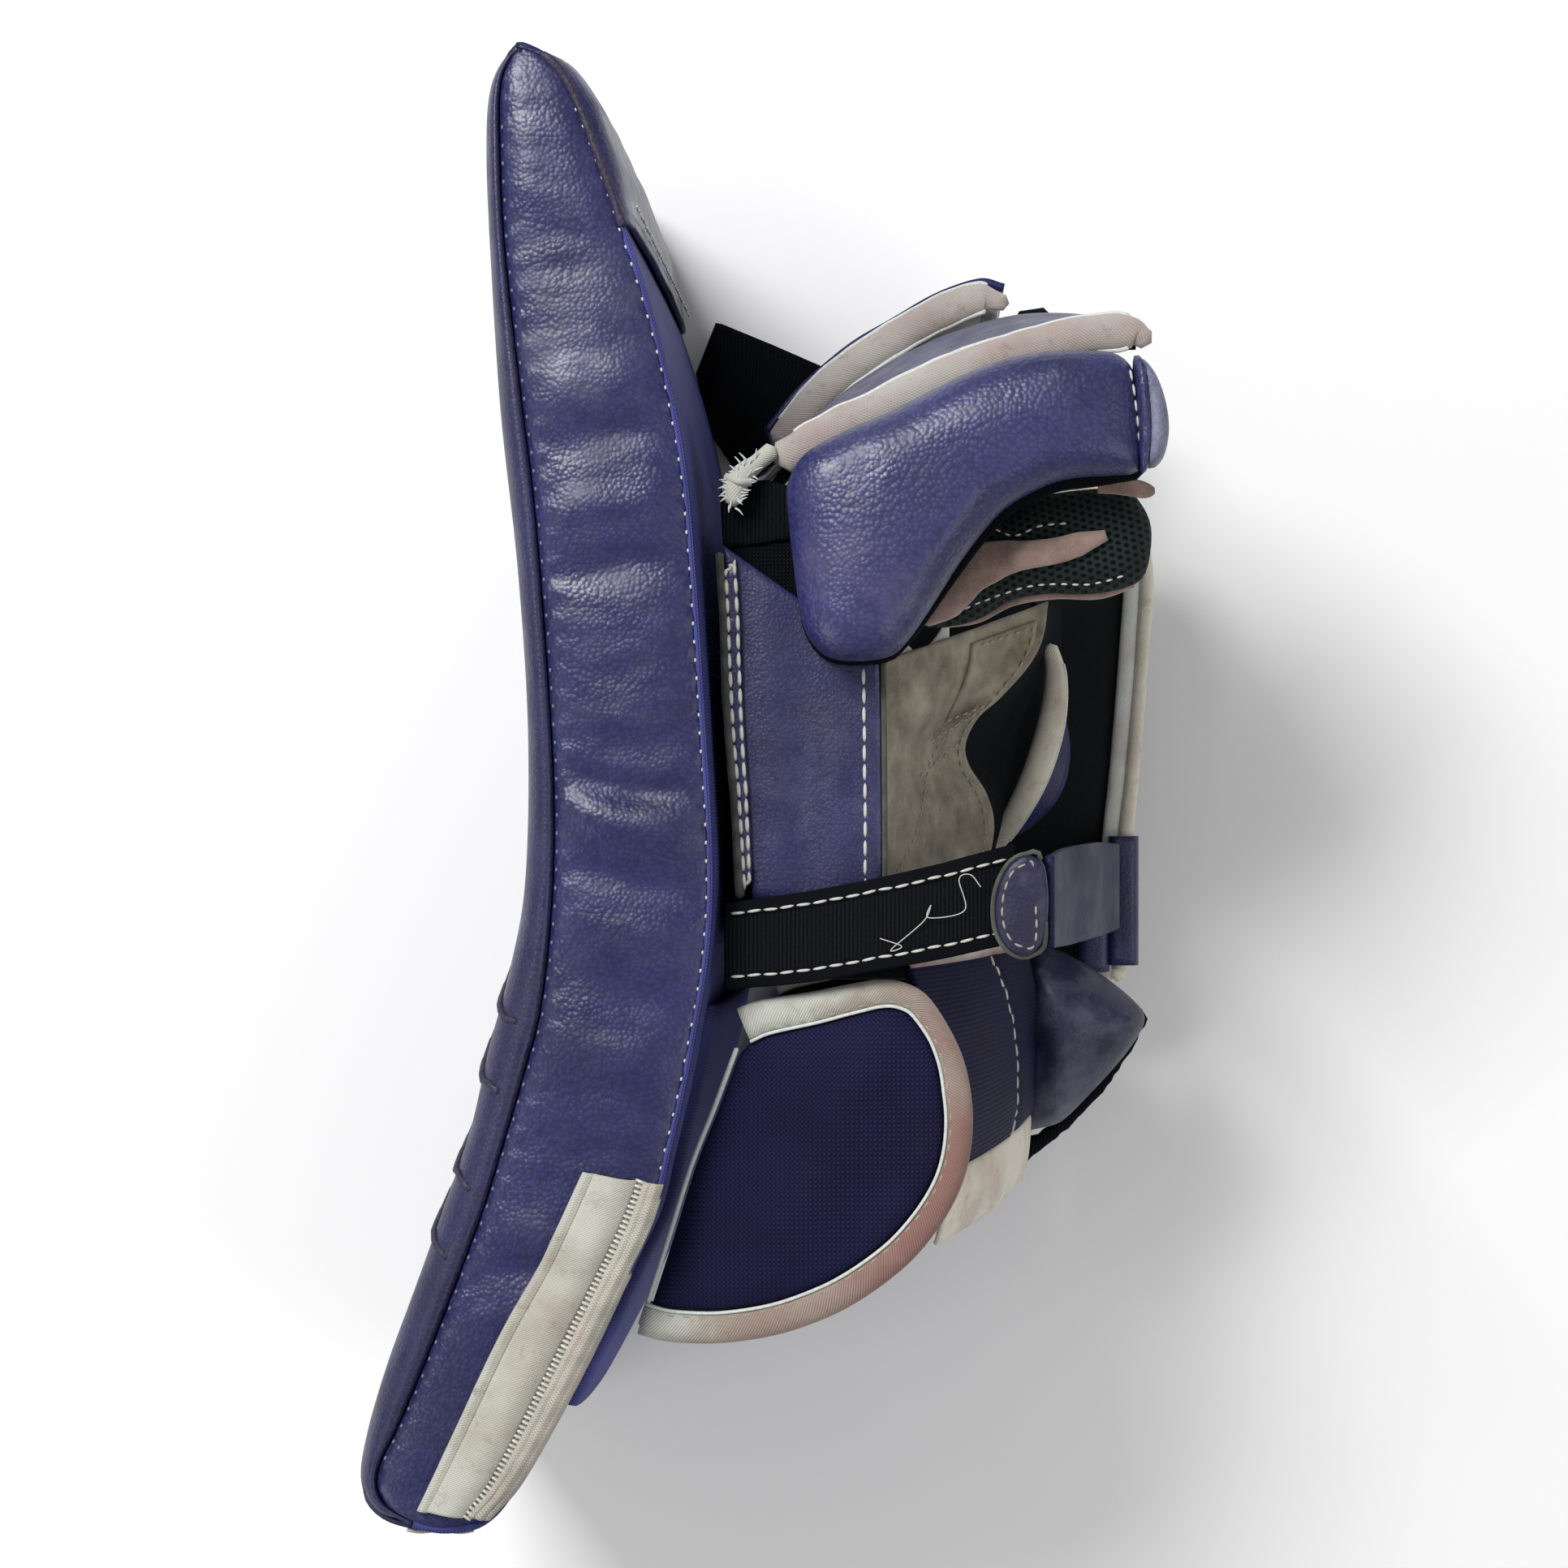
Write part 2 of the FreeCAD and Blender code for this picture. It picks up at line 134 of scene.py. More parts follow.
def sheet_grid(name, grid, thickness, material, uvs=None, flip=False):
    """A closed sheet: a grid of points [rows, columns, 3] and a copy of it thickness behind."""
    grid = np.array(grid, float)
    rows, cols = grid.shape[:2]
    du = np.gradient(grid, axis=0)
    dv = np.gradient(grid, axis=1)
    normal = np.cross(du, dv)
    normal /= np.linalg.norm(normal, axis=2)[..., None] + 1e-9
    behind = grid - normal * thickness * (-1 if flip else 1)
    verts = np.vstack([grid.reshape(-1, 3), behind.reshape(-1, 3)])
    half = rows * cols
    faces = []
    for i in range(rows - 1):
        for j in range(cols - 1):
            a, b, c, d = i * cols + j, i * cols + j + 1, (i + 1) * cols + j + 1, (i + 1) * cols + j
            faces += [(a, b, c, d), (half + d, half + c, half + b, half + a)]
    rim = [j for j in range(cols)] + [i * cols + cols - 1 for i in range(1, rows)]
    rim += [(rows - 1) * cols + j for j in range(cols - 2, -1, -1)] + [i * cols
                                                                       for i in range(rows - 2, 0, -1)]
    faces += [(rim[k], half + rim[k], half + rim[(k + 1) % len(rim)], rim[(k + 1) % len(rim)])
              for k in range(len(rim))]
    if uvs is None:
        u = np.concatenate([[0], np.cumsum(np.linalg.norm(np.diff(grid[:, cols // 2], axis=0), axis=1))])
        v = np.concatenate([[0], np.cumsum(np.linalg.norm(np.diff(grid[rows // 2], axis=0), axis=1))])
        uvs = np.stack(np.meshgrid(u, v, indexing="ij"), axis=2)
    flat = np.array(uvs).reshape(-1, 2)
    return make_piece(name, verts, faces, material, np.vstack([flat, flat]))


def tube(name, path, radii, material, sides=12, squash=1.0, up=(0, 0, 1)):
    """A closed round bar along a path. radii is one radius or one a point; squash flattens it along up."""
    path = np.array(path, float)
    count = len(path)
    radii = np.broadcast_to(np.array(radii, float), (count,))
    along = np.gradient(path, axis=0)
    along /= np.linalg.norm(along, axis=1)[:, None]
    side = np.cross(along, np.array(up, float))
    side /= np.linalg.norm(side, axis=1)[:, None] + 1e-9
    over = np.cross(side, along)
    verts, uvs = [], []
    run = np.concatenate([[0], np.cumsum(np.linalg.norm(np.diff(path, axis=0), axis=1))])
    for i in range(count):
        for k in range(sides):
            a = 2 * math.pi * k / sides
            verts.append(path[i] + radii[i] * (math.cos(a) * side[i] + squash * math.sin(a) * over[i]))
            uvs.append((run[i], radii[i] * 2 * math.pi * k / sides))
    faces = [(i * sides + k, i * sides + (k + 1) % sides, (i + 1) * sides + (k + 1) % sides,
              (i + 1) * sides + k)
             for i in range(count - 1) for k in range(sides)]
    for centre, ring in ((path[0] - along[0] * radii[0] * 0.6, 0),
                         (path[-1] + along[-1] * radii[-1] * 0.6, count - 1)):
        tip = len(verts)
        verts.append(centre)
        uvs.append((run[0 if ring == 0 else -1], 0))
        faces += [(ring * sides + k, ring * sides + (k + 1) % sides, tip) for k in range(sides)]
    return make_piece(name, verts, faces, material, uvs)


def edge_distance(points, outline):
    """Each point's distance to a closed outline, and whether it is inside it."""
    a = outline
    b = np.roll(outline, -1, axis=0)
    ab = b - a
    rel = points[:, None, :] - a[None]
    t = np.clip((rel * ab[None]).sum(2) / ((ab ** 2).sum(1)[None] + 1e-12), 0, 1)
    far = np.linalg.norm(rel - t[..., None] * ab[None], axis=2).min(axis=1)
    x, y = points[:, 0:1], points[:, 1:2]
    crosses = (a[None, :, 1] > y) != (b[None, :, 1] > y)
    at = a[None, :, 0] + (y - a[None, :, 1]) / (b[None, :, 1] - a[None, :, 1] + 1e-12) * ab[None, :, 0]
    return far, ((crosses & (x < at)).sum(axis=1) % 2) == 1


def pillow(name, outline, low, high, radius, material, spacing=2.5, shape=None, crown=0.0):
    """A closed padded form over an outline in XY, from low to high, with edges rounded by radius.
    shape(x, y, z, depth, top) may move a point; depth is its distance from the outline's edge."""
    outline = np.array(outline, float)
    half = (high - low) / 2
    corners = [outline.min(axis=0), outline.max(axis=0)]
    xs = np.arange(corners[0][0], corners[1][0], spacing)
    ys = np.arange(corners[0][1], corners[1][1], spacing)
    field = np.stack(np.meshgrid(xs, ys), axis=2).reshape(-1, 2)
    inner = max(radius * 0.75, spacing * 0.6)
    depth, inside = edge_distance(field, outline)
    field = field[inside & (depth > inner)]
    area = np.roll(outline, -1, axis=0)
    turn = np.sign((outline[:, 0] * area[:, 1] - area[:, 0] * outline[:, 1]).sum())
    tangent = np.roll(outline, -1, axis=0) - np.roll(outline, 1, axis=0)
    tangent /= np.linalg.norm(tangent, axis=1)[:, None] + 1e-9
    inward = np.stack([-tangent[:, 1], tangent[:, 0]], axis=1) * turn
    rings = []
    for fraction in (0.06, 0.2, 0.45):
        ring = outline + inward * radius * fraction
        depth, inside = edge_distance(ring, outline)
        rings.append(ring[inside & (depth > radius * fraction * 0.9)])
    points = np.vstack([outline, *rings, field])
    n = len(outline)
    loop = [(i, (i + 1) % n) for i in range(n)]
    flat, _, tris, *_ = delaunay_2d_cdt([Vector(p) for p in points], loop, [], 1, 1e-5)
    flat = np.array([(v[0], v[1]) for v in flat])
    depth, _ = edge_distance(flat, outline)
    rise = np.sqrt(1 - (1 - np.clip(depth / radius, 0, 1)) ** 2)
    middle = (low + high) / 2
    widest = depth.max()
    verts, number = [], {}
    for top in (True, False):
        for i, (x, y) in enumerate(flat):
            if not top and depth[i] < 1e-4:
                continue
            number[top, i] = len(verts)
            bulge = crown * math.sin(min(depth[i] / widest, 1) * math.pi / 2)
            z = middle + (half + bulge) * rise[i] * (1 if top else -1)
            verts.append(shape(x, y, z, depth[i], top) if shape else (x, y, z))
    faces = [tuple(number[True, i] for i in t) for t in tris]
    faces += [tuple(number.get((False, i), number[True, i]) for i in reversed(t)) for t in tris]
    uvs = [flat[i] for i in range(len(flat))] + [flat[i] for i in range(len(flat)) if (False, i) in number]
    return make_piece(name, verts, faces, material, uvs)


def surface_under(obj, points, lift, direction=(0, 0, -1)):
    """Points moved along direction onto the object's surface, then lifted back by lift.

    A point that misses the object goes to the nearest part of it."""
    mesh = obj.data
    tree = BVHTree.FromPolygons([v.co for v in mesh.vertices], [tuple(p.vertices) for p in mesh.polygons])
    ray = Vector(direction)
    landed = []
    for p in points:
        start = Vector(p) * MM
        hit = tree.ray_cast(start - ray * 0.3, ray)[0] or tree.find_nearest(start)[0]
        landed.append(tuple((hit - ray * lift * MM) / MM))
    return np.array(landed)


def stitch_row(name, path, material, length=3.2, gap=1.5, width=0.75, sides=6):
    """Thread stitches lying along a path: one short rounded bar each, joined as one piece."""
    path = np.array(path, float)
    total = np.linalg.norm(np.diff(path, axis=0), axis=1).sum()
    count = max(2, int(total / (length + gap)))
    line = even(path, count * 12 + 1)
    verts, faces = [], []
    for s in range(count):
        a = s * 12
        b = a + max(2, int(round(12 * length / (length + gap))))
        run = even(line[a:b + 1], 5)
        along = run[-1] - run[0]
        along /= np.linalg.norm(along) + 1e-9
        side = np.cross(along, (0, 0, 1.0))
        if np.linalg.norm(side) < 0.2:
            side = np.cross(along, (0, 1.0, 0))
        side /= np.linalg.norm(side)
        over = np.cross(side, along)
        slack = 0.12 * ripple(s * 9.1, 3.3, size=7)
        base = len(verts)
        for i, p in enumerate(run):
            swell = (0.45, 0.95, 1.0, 0.95, 0.45)[i] * width / 2
            sink = -0.3 if i in (0, 4) else 0.0
            for k in range(sides):
                t = 2 * math.pi * k / sides
                verts.append(p + side * (swell * math.cos(t) + slack) + over * (swell * math.sin(t) + sink))
        for i in range(4):
            for k in range(sides):
                a0, a1 = base + i * sides + k, base + i * sides + (k + 1) % sides
                faces.append((a0, a1, a1 + sides, a0 + sides))
        faces.append(tuple(base + k for k in range(sides)))
        faces.append(tuple(base + 4 * sides + k for k in reversed(range(sides))))
    return make_piece(name, verts, faces, material)


def inflate(obj, cap, pressure, frames=20):
    """Swells a padded piece with a cloth simulation, holding each point within cap of where it began."""
    scene = bpy.context.scene
    bpy.context.view_layer.objects.active = obj
    before = [v.co.copy() for v in obj.data.vertices]
    cloth = obj.modifiers.new("swell", "CLOTH")
    cloth.settings.use_pressure = True
    cloth.settings.uniform_pressure_force = pressure
    cloth.settings.tension_stiffness = 25
    cloth.settings.compression_stiffness = 25
    cloth.settings.bending_stiffness = 1.5
    cloth.settings.effector_weights.gravity = 0
    cloth.point_cache.frame_start, cloth.point_cache.frame_end = 1, frames
    for step in range(1, frames + 1):
        scene.frame_set(step)
        swollen = obj.evaluated_get(bpy.context.evaluated_depsgraph_get()).data
    after = [v.co.copy() for v in swollen.vertices]
    obj.modifiers.remove(cloth)
    for vertex, old, new in zip(obj.data.vertices, before, after):
        move = new - old
        limit = cap * MM
        if move.length > limit:
            move *= limit / move.length
        vertex.co = old + move
    scene.frame_set(1)
    return obj


def join(name, *parts):
    """Joins pieces into the first one, which takes the name."""
    with bpy.context.temp_override(active_object=parts[0], selected_editable_objects=list(parts)):
        bpy.ops.object.join()
    parts[0].name = name
    return parts[0]


# ---------------------------------------------------------------- materials
class Nodes:
    """A material's node tree, built by naming each node's type, settings and inputs."""

    def __init__(self, name):
        self.material = bpy.data.materials.new(name)
        self.material.use_nodes = True
        self.tree = self.material.node_tree
        self.shader = self.tree.nodes["Principled BSDF"]
        self.coords = self.tree.nodes.new("ShaderNodeTexCoord").outputs
        self.place = self.coords["Object"]
        self.cloth = self.coords["UV"]

    def add(self, kind, inputs=None, **settings):
        node = self.tree.nodes.new("ShaderNode" + kind)
        for key, value in settings.items():
            setattr(node, key, value)
        for key, value in (inputs or {}).items():
            self.feed(node.inputs[key], value)
        return node

    def feed(self, socket, value):
        if isinstance(value, bpy.types.NodeSocket):
            self.tree.links.new(value, socket)
        else:
            socket.default_value = value

    def math(self, operation, *values):
        return self.add("Math", dict(enumerate(values)), operation=operation).outputs[0]

    def noise(self, size, detail=4.0, rough=0.55, where=None):
        """Noise with lumps size millimetres across."""
        made = self.add("TexNoise", {"Vector": where or self.place, "Scale": 1000 / size,
                                     "Detail": detail, "Roughness": rough})
        return made.outputs["Fac"]

    def ramp(self, value, stops):
        """A colour ramp: stops are (position, colour or grey)."""
        node = self.add("ValToRGB", {"Fac": value})
        ramp = node.color_ramp
        for i, (position, colour) in enumerate(stops):
            element = ramp.elements[i] if i < 2 else ramp.elements.new(position)
            element.position = position
            element.color = (*colour, 1) if isinstance(colour, tuple) else (colour, colour, colour, 1)
        return node.outputs["Color"]

    def mix(self, factor, a, b, mode="MIX"):
        node = self.add("Mix", data_type="RGBA", blend_type=mode)
        for socket, value in ((node.inputs[0], factor), (node.inputs[6], a), (node.inputs[7], b)):
            self.feed(socket, (*value, 1) if isinstance(value, tuple) else value)
        return node.outputs[2]

    def bump(self, height, distance, strength=1.0, under=None):
        """A bump of distance millimetres. under is the normal of a coarser bump."""
        inputs = {"Height": height, "Distance": distance * MM, "Strength": strength}
        if under:
            inputs["Normal"] = under
        return self.add("Bump", inputs).outputs["Normal"]

    def finish(self, colour, rough, normal=None, **constants):
        for name, value in (("Base Color", colour), ("Roughness", rough), ("Normal", normal)):
            if value is not None:
                self.feed(self.shader.inputs[name], (*value, 1) if isinstance(value, tuple) else value)
        for name, value in constants.items():
            self.shader.inputs[name.replace("_", " ")].default_value = value
        return self.material


def leather(name, base, grain, worn, wear=0.5, gloss=0.38, depth=0.16, shine=0.45):
    """Coated leather: pebbles grain mm across, soft folds, patchy gloss and scuffs of the worn colour."""
    n = Nodes(name)
    cells = n.add("TexVoronoi", {"Vector": n.place, "Scale": 1000 / grain, "Randomness": 0.9},
                  feature="SMOOTH_F1")
    cells.inputs["Smoothness"].default_value = 0.35
    pebbles = n.math("SUBTRACT", 1.0, cells.outputs["Distance"])
    fold = n.noise(9.0, 3.0)
    pores = n.noise(0.5, 2.0)
    shade = n.ramp(n.noise(30.0, 5.0), [(0.3, 0.72), (0.7, 1.12)])
    body = n.mix(1.0, base, shade, "MULTIPLY")
    grooves = n.ramp(pebbles, [(0.35, 0.55), (0.75, 1.0)])
    body = n.mix(0.8, body, grooves, "MULTIPLY")
    scuff = n.ramp(n.math("MULTIPLY", n.noise(16.0, 9.0, 0.68), n.noise(70.0, 2.0)),
                   [(0.30 - 0.04 * wear, 0.0), (0.42, wear)])
    body = n.mix(scuff, body, worn)
    rough = n.ramp(n.noise(12.0, 6.0, 0.6), [(0.3, gloss - 0.07), (0.72, gloss + 0.16)])
    coarse = n.bump(fold, 0.45, 0.45)
    fine = n.bump(pebbles, depth, 0.9, coarse)
    normal = n.bump(pores, 0.03, 0.6, fine)
    return n.finish(body, rough, normal, Coat_Weight=0.22 * shine, Coat_Roughness=0.28,
                    Specular_IOR_Level=shine)


def weave(name, base, pitch, lift, stain=None, stain_at=0.5, gloss=0.62, sheen=0.2, angle=45.0, shine=0.22):
    """Plain-woven cloth: yarns pitch mm apart, over and under each other. stain is the soil's colour."""
    n = Nodes(name)
    turned = n.add("Mapping", {"Vector": n.cloth, "Rotation": (0, 0, math.radians(angle)),
                               "Scale": (1000 / pitch,) * 3}).outputs[0]
    axes = n.add("SeparateXYZ", {"Vector": turned}).outputs
    u = n.math("SINE", n.math("MULTIPLY", axes[0], math.pi))
    v = n.math("SINE", n.math("MULTIPLY", axes[1], math.pi))
    over = n.math("GREATER_THAN", n.math("MULTIPLY", u, v), 0.0)
    height = n.add("Mix", {0: over, 2: n.math("ABSOLUTE", u), 3: n.math("ABSOLUTE", v)}).outputs[0]
    tone = n.ramp(n.noise(24.0, 5.0), [(0.3, 0.78), (0.7, 1.15)])
    body = n.mix(1.0, base, tone, "MULTIPLY")
    body = n.mix(0.75, body, n.ramp(height, [(0.1, 0.45), (0.85, 1.1)]), "MULTIPLY")
    if stain:
        soil = n.ramp(n.math("ADD", n.math("MULTIPLY", n.noise(26.0, 6.0, 0.6), 0.75),
                             n.math("MULTIPLY", n.noise(5.0, 6.0, 0.7), 0.25)),
                      [(stain_at - 0.09, 0.0), (stain_at + 0.10, 0.85)])
        body = n.mix(soil, body, stain)
    coarse = n.bump(n.noise(8.0, 3.0), 0.5, 0.5)
    normal = n.bump(height, lift, 1.0, coarse)
    return n.finish(body, gloss, normal, Sheen_Weight=sheen * 0.4, Sheen_Roughness=0.4,
                    Specular_IOR_Level=shine)


def twill(name, base, pitch, stain, stain_at=0.5, fine_stain=None):
    """Binding tape: close diagonal ribs, unevenly soiled, fuzzy in grazing light."""
    n = Nodes(name)
    axes = n.add("SeparateXYZ", {"Vector": n.cloth}).outputs
    diagonal = n.math("ADD", axes[0], n.math("MULTIPLY", axes[1], 0.8))
    rib = n.math("ABSOLUTE", n.math("SINE", n.math("MULTIPLY", diagonal, math.pi * 1000 / pitch)))
    across = n.math("ABSOLUTE", n.math("SINE", n.math("MULTIPLY", axes[1], math.pi * 1000 / (pitch * 0.8))))
    height = n.math("ADD", n.math("MULTIPLY", rib, 0.7), n.math("MULTIPLY", across, 0.3))
    soil = n.ramp(n.noise(34.0, 7.0, 0.62), [(stain_at - 0.12, 0.0), (stain_at + 0.12, 0.9)])
    body = n.mix(soil, base, stain)
    marks = n.ramp(n.noise(4.5, 8.0, 0.7), [(0.56, 0.0), (0.74, 0.55)])
    body = n.mix(marks, body, fine_stain or tuple(c * 0.45 for c in stain))
    body = n.mix(0.6, body, n.ramp(height, [(0.1, 0.62), (0.7, 1.05)]), "MULTIPLY")
    coarse = n.bump(n.noise(6.0, 4.0), 0.5, 0.6)
    normal = n.bump(height, 0.14, 1.0, coarse)
    return n.finish(body, 0.85, normal, Sheen_Weight=0.35, Sheen_Roughness=0.5, Specular_IOR_Level=0.25)


def stained_rim(name):
    """The wing's binding: clean off-white by the hinge, pink-brown where the palm rubs it, beige below."""
    n = Nodes(name)
    axes = n.add("SeparateXYZ", {"Vector": n.cloth}).outputs
    diagonal = n.math("ADD", axes[0], n.math("MULTIPLY", axes[1], 0.8))
    rib = n.math("ABSOLUTE", n.math("SINE", n.math("MULTIPLY", diagonal, math.pi * 1250)))
    across, up, _ = n.add("SeparateXYZ", {"Vector": n.place}).outputs
    rubbed = n.math("SUBTRACT", across, n.math("MULTIPLY", n.math("ADD", up, 0.1), 0.5))
    drift = n.math("ADD", rubbed, n.math("MULTIPLY", n.math("SUBTRACT", n.noise(28.0, 6.0, 0.6), 0.5),
                                         0.075))
    body = n.ramp(n.math("MULTIPLY", drift, 10.0),
                  [(0.28, (0.50, 0.51, 0.45)), (0.82, (0.25, 0.135, 0.115)),
                                                   (0.46, (0.33, 0.28, 0.235))])
    marks = n.ramp(n.noise(5.0, 8.0, 0.7), [(0.54, 0.0), (0.74, 0.5)])
    body = n.mix(marks, body, (0.20, 0.10, 0.085))
    body = n.mix(0.6, body, n.ramp(rib, [(0.1, 0.62), (0.7, 1.05)]), "MULTIPLY")
    normal = n.bump(rib, 0.14, 1.0, n.bump(n.noise(6.0, 4.0), 0.6, 0.7))
    return n.finish(body, 0.85, normal, Sheen_Weight=0.2, Sheen_Roughness=0.5, Specular_IOR_Level=0.25)


def nap(name, base, dark, size=0.6, lift=0.25, sheen=0.5, patches=20.0, grease=0.5, shine=0.2):
    """Brushed pile, as suede, velour and felt have: short fibres, lighter and darker where rubbed."""
    n = Nodes(name)
    fibres = n.noise(size, 8.0, 0.75)
    rubbed = n.noise(patches, 7.0, 0.6)
    body = n.mix(n.ramp(rubbed, [(0.34, 0.0), (0.68, 1.0)]), dark, base)
    body = n.mix(0.7, body, n.ramp(fibres, [(0.3, 0.6), (0.7, 1.18)]), "MULTIPLY")
    coarse = n.bump(n.noise(7.0, 5.0), 0.6, grease)
    normal = n.bump(fibres, lift, 1.0, coarse)
    return n.finish(body, 0.93, normal, Sheen_Weight=sheen, Sheen_Roughness=0.5, Specular_IOR_Level=shine)


def spacer_mesh(name):
    """Knitted spacer mesh: rows of staggered oval holes in black yarn."""
    n = Nodes(name)
    scaled = n.add("Mapping", {"Vector": n.cloth, "Rotation": (0, 0, 0.35),
                               "Scale": (1000 / 2.3, 1000 / 1.7, 1)}).outputs[0]
    axes = n.add("SeparateXYZ", {"Vector": scaled}).outputs
    row = n.math("FLOOR", axes[1])
    shift = n.math("MULTIPLY", n.math("MODULO", n.math("ABSOLUTE", row), 2.0), 0.5)
    across = n.math("SUBTRACT", n.math("FRACT", n.math("ADD", axes[0], shift)), 0.5)
    up = n.math("SUBTRACT", n.math("FRACT", axes[1]), 0.5)
    reach = n.math("SQRT", n.math("ADD", n.math("POWER", across, 2.0), n.math("POWER", up, 2.0)))
    height = n.ramp(reach, [(0.2, 0.0), (0.4, 1.0)])
    fuzz = n.noise(0.35, 6.0, 0.7)
    body = n.mix(height, (0.002, 0.003, 0.003), (0.018, 0.026, 0.026))
    body = n.mix(0.6, body, n.ramp(fuzz, [(0.3, 0.5), (0.7, 1.4)]), "MULTIPLY")
    normal = n.bump(fuzz, 0.15, 0.7, n.bump(height, 0.6, 1.0))
    return n.finish(body, 0.9, normal, Sheen_Weight=0.03, Specular_IOR_Level=0.08)


def loop_pile(name, ribs=1.1):
    """Hook-and-loop tape: black fuzzy loops in faint rows."""
    n = Nodes(name)
    axes = n.add("SeparateXYZ", {"Vector": n.cloth}).outputs
    rows = n.math("ABSOLUTE", n.math("SINE", n.math("MULTIPLY", axes[0], math.pi * 1000 / ribs)))
    fuzz = n.noise(0.45, 9.0, 0.8)
    height = n.math("ADD", n.math("MULTIPLY", rows, 0.35), fuzz)
    body = n.ramp(height, [(0.45, (0.001, 0.0015, 0.002)), (0.95, (0.012, 0.015, 0.018))])
    return n.finish(body, 0.88, n.bump(height, 0.5, 1.0), Specular_IOR_Level=0.05)


def plain(name, base, rough, size=1.5, lift=0.04, **constants):
    """Moulded, painted or cut material with faint unevenness in colour, gloss and surface."""
    n = Nodes(name)
    lumps = n.noise(size, 6.0, 0.65)
    body = n.mix(1.0, base, n.ramp(lumps, [(0.3, 0.75), (0.7, 1.15)]), "MULTIPLY")
    roughness = n.ramp(n.noise(size * 6, 4.0), [(0.3, rough - 0.08), (0.7, min(1.0, rough + 0.1))])
    return n.finish(body, roughness, n.bump(lumps, lift, 0.8), **constants)


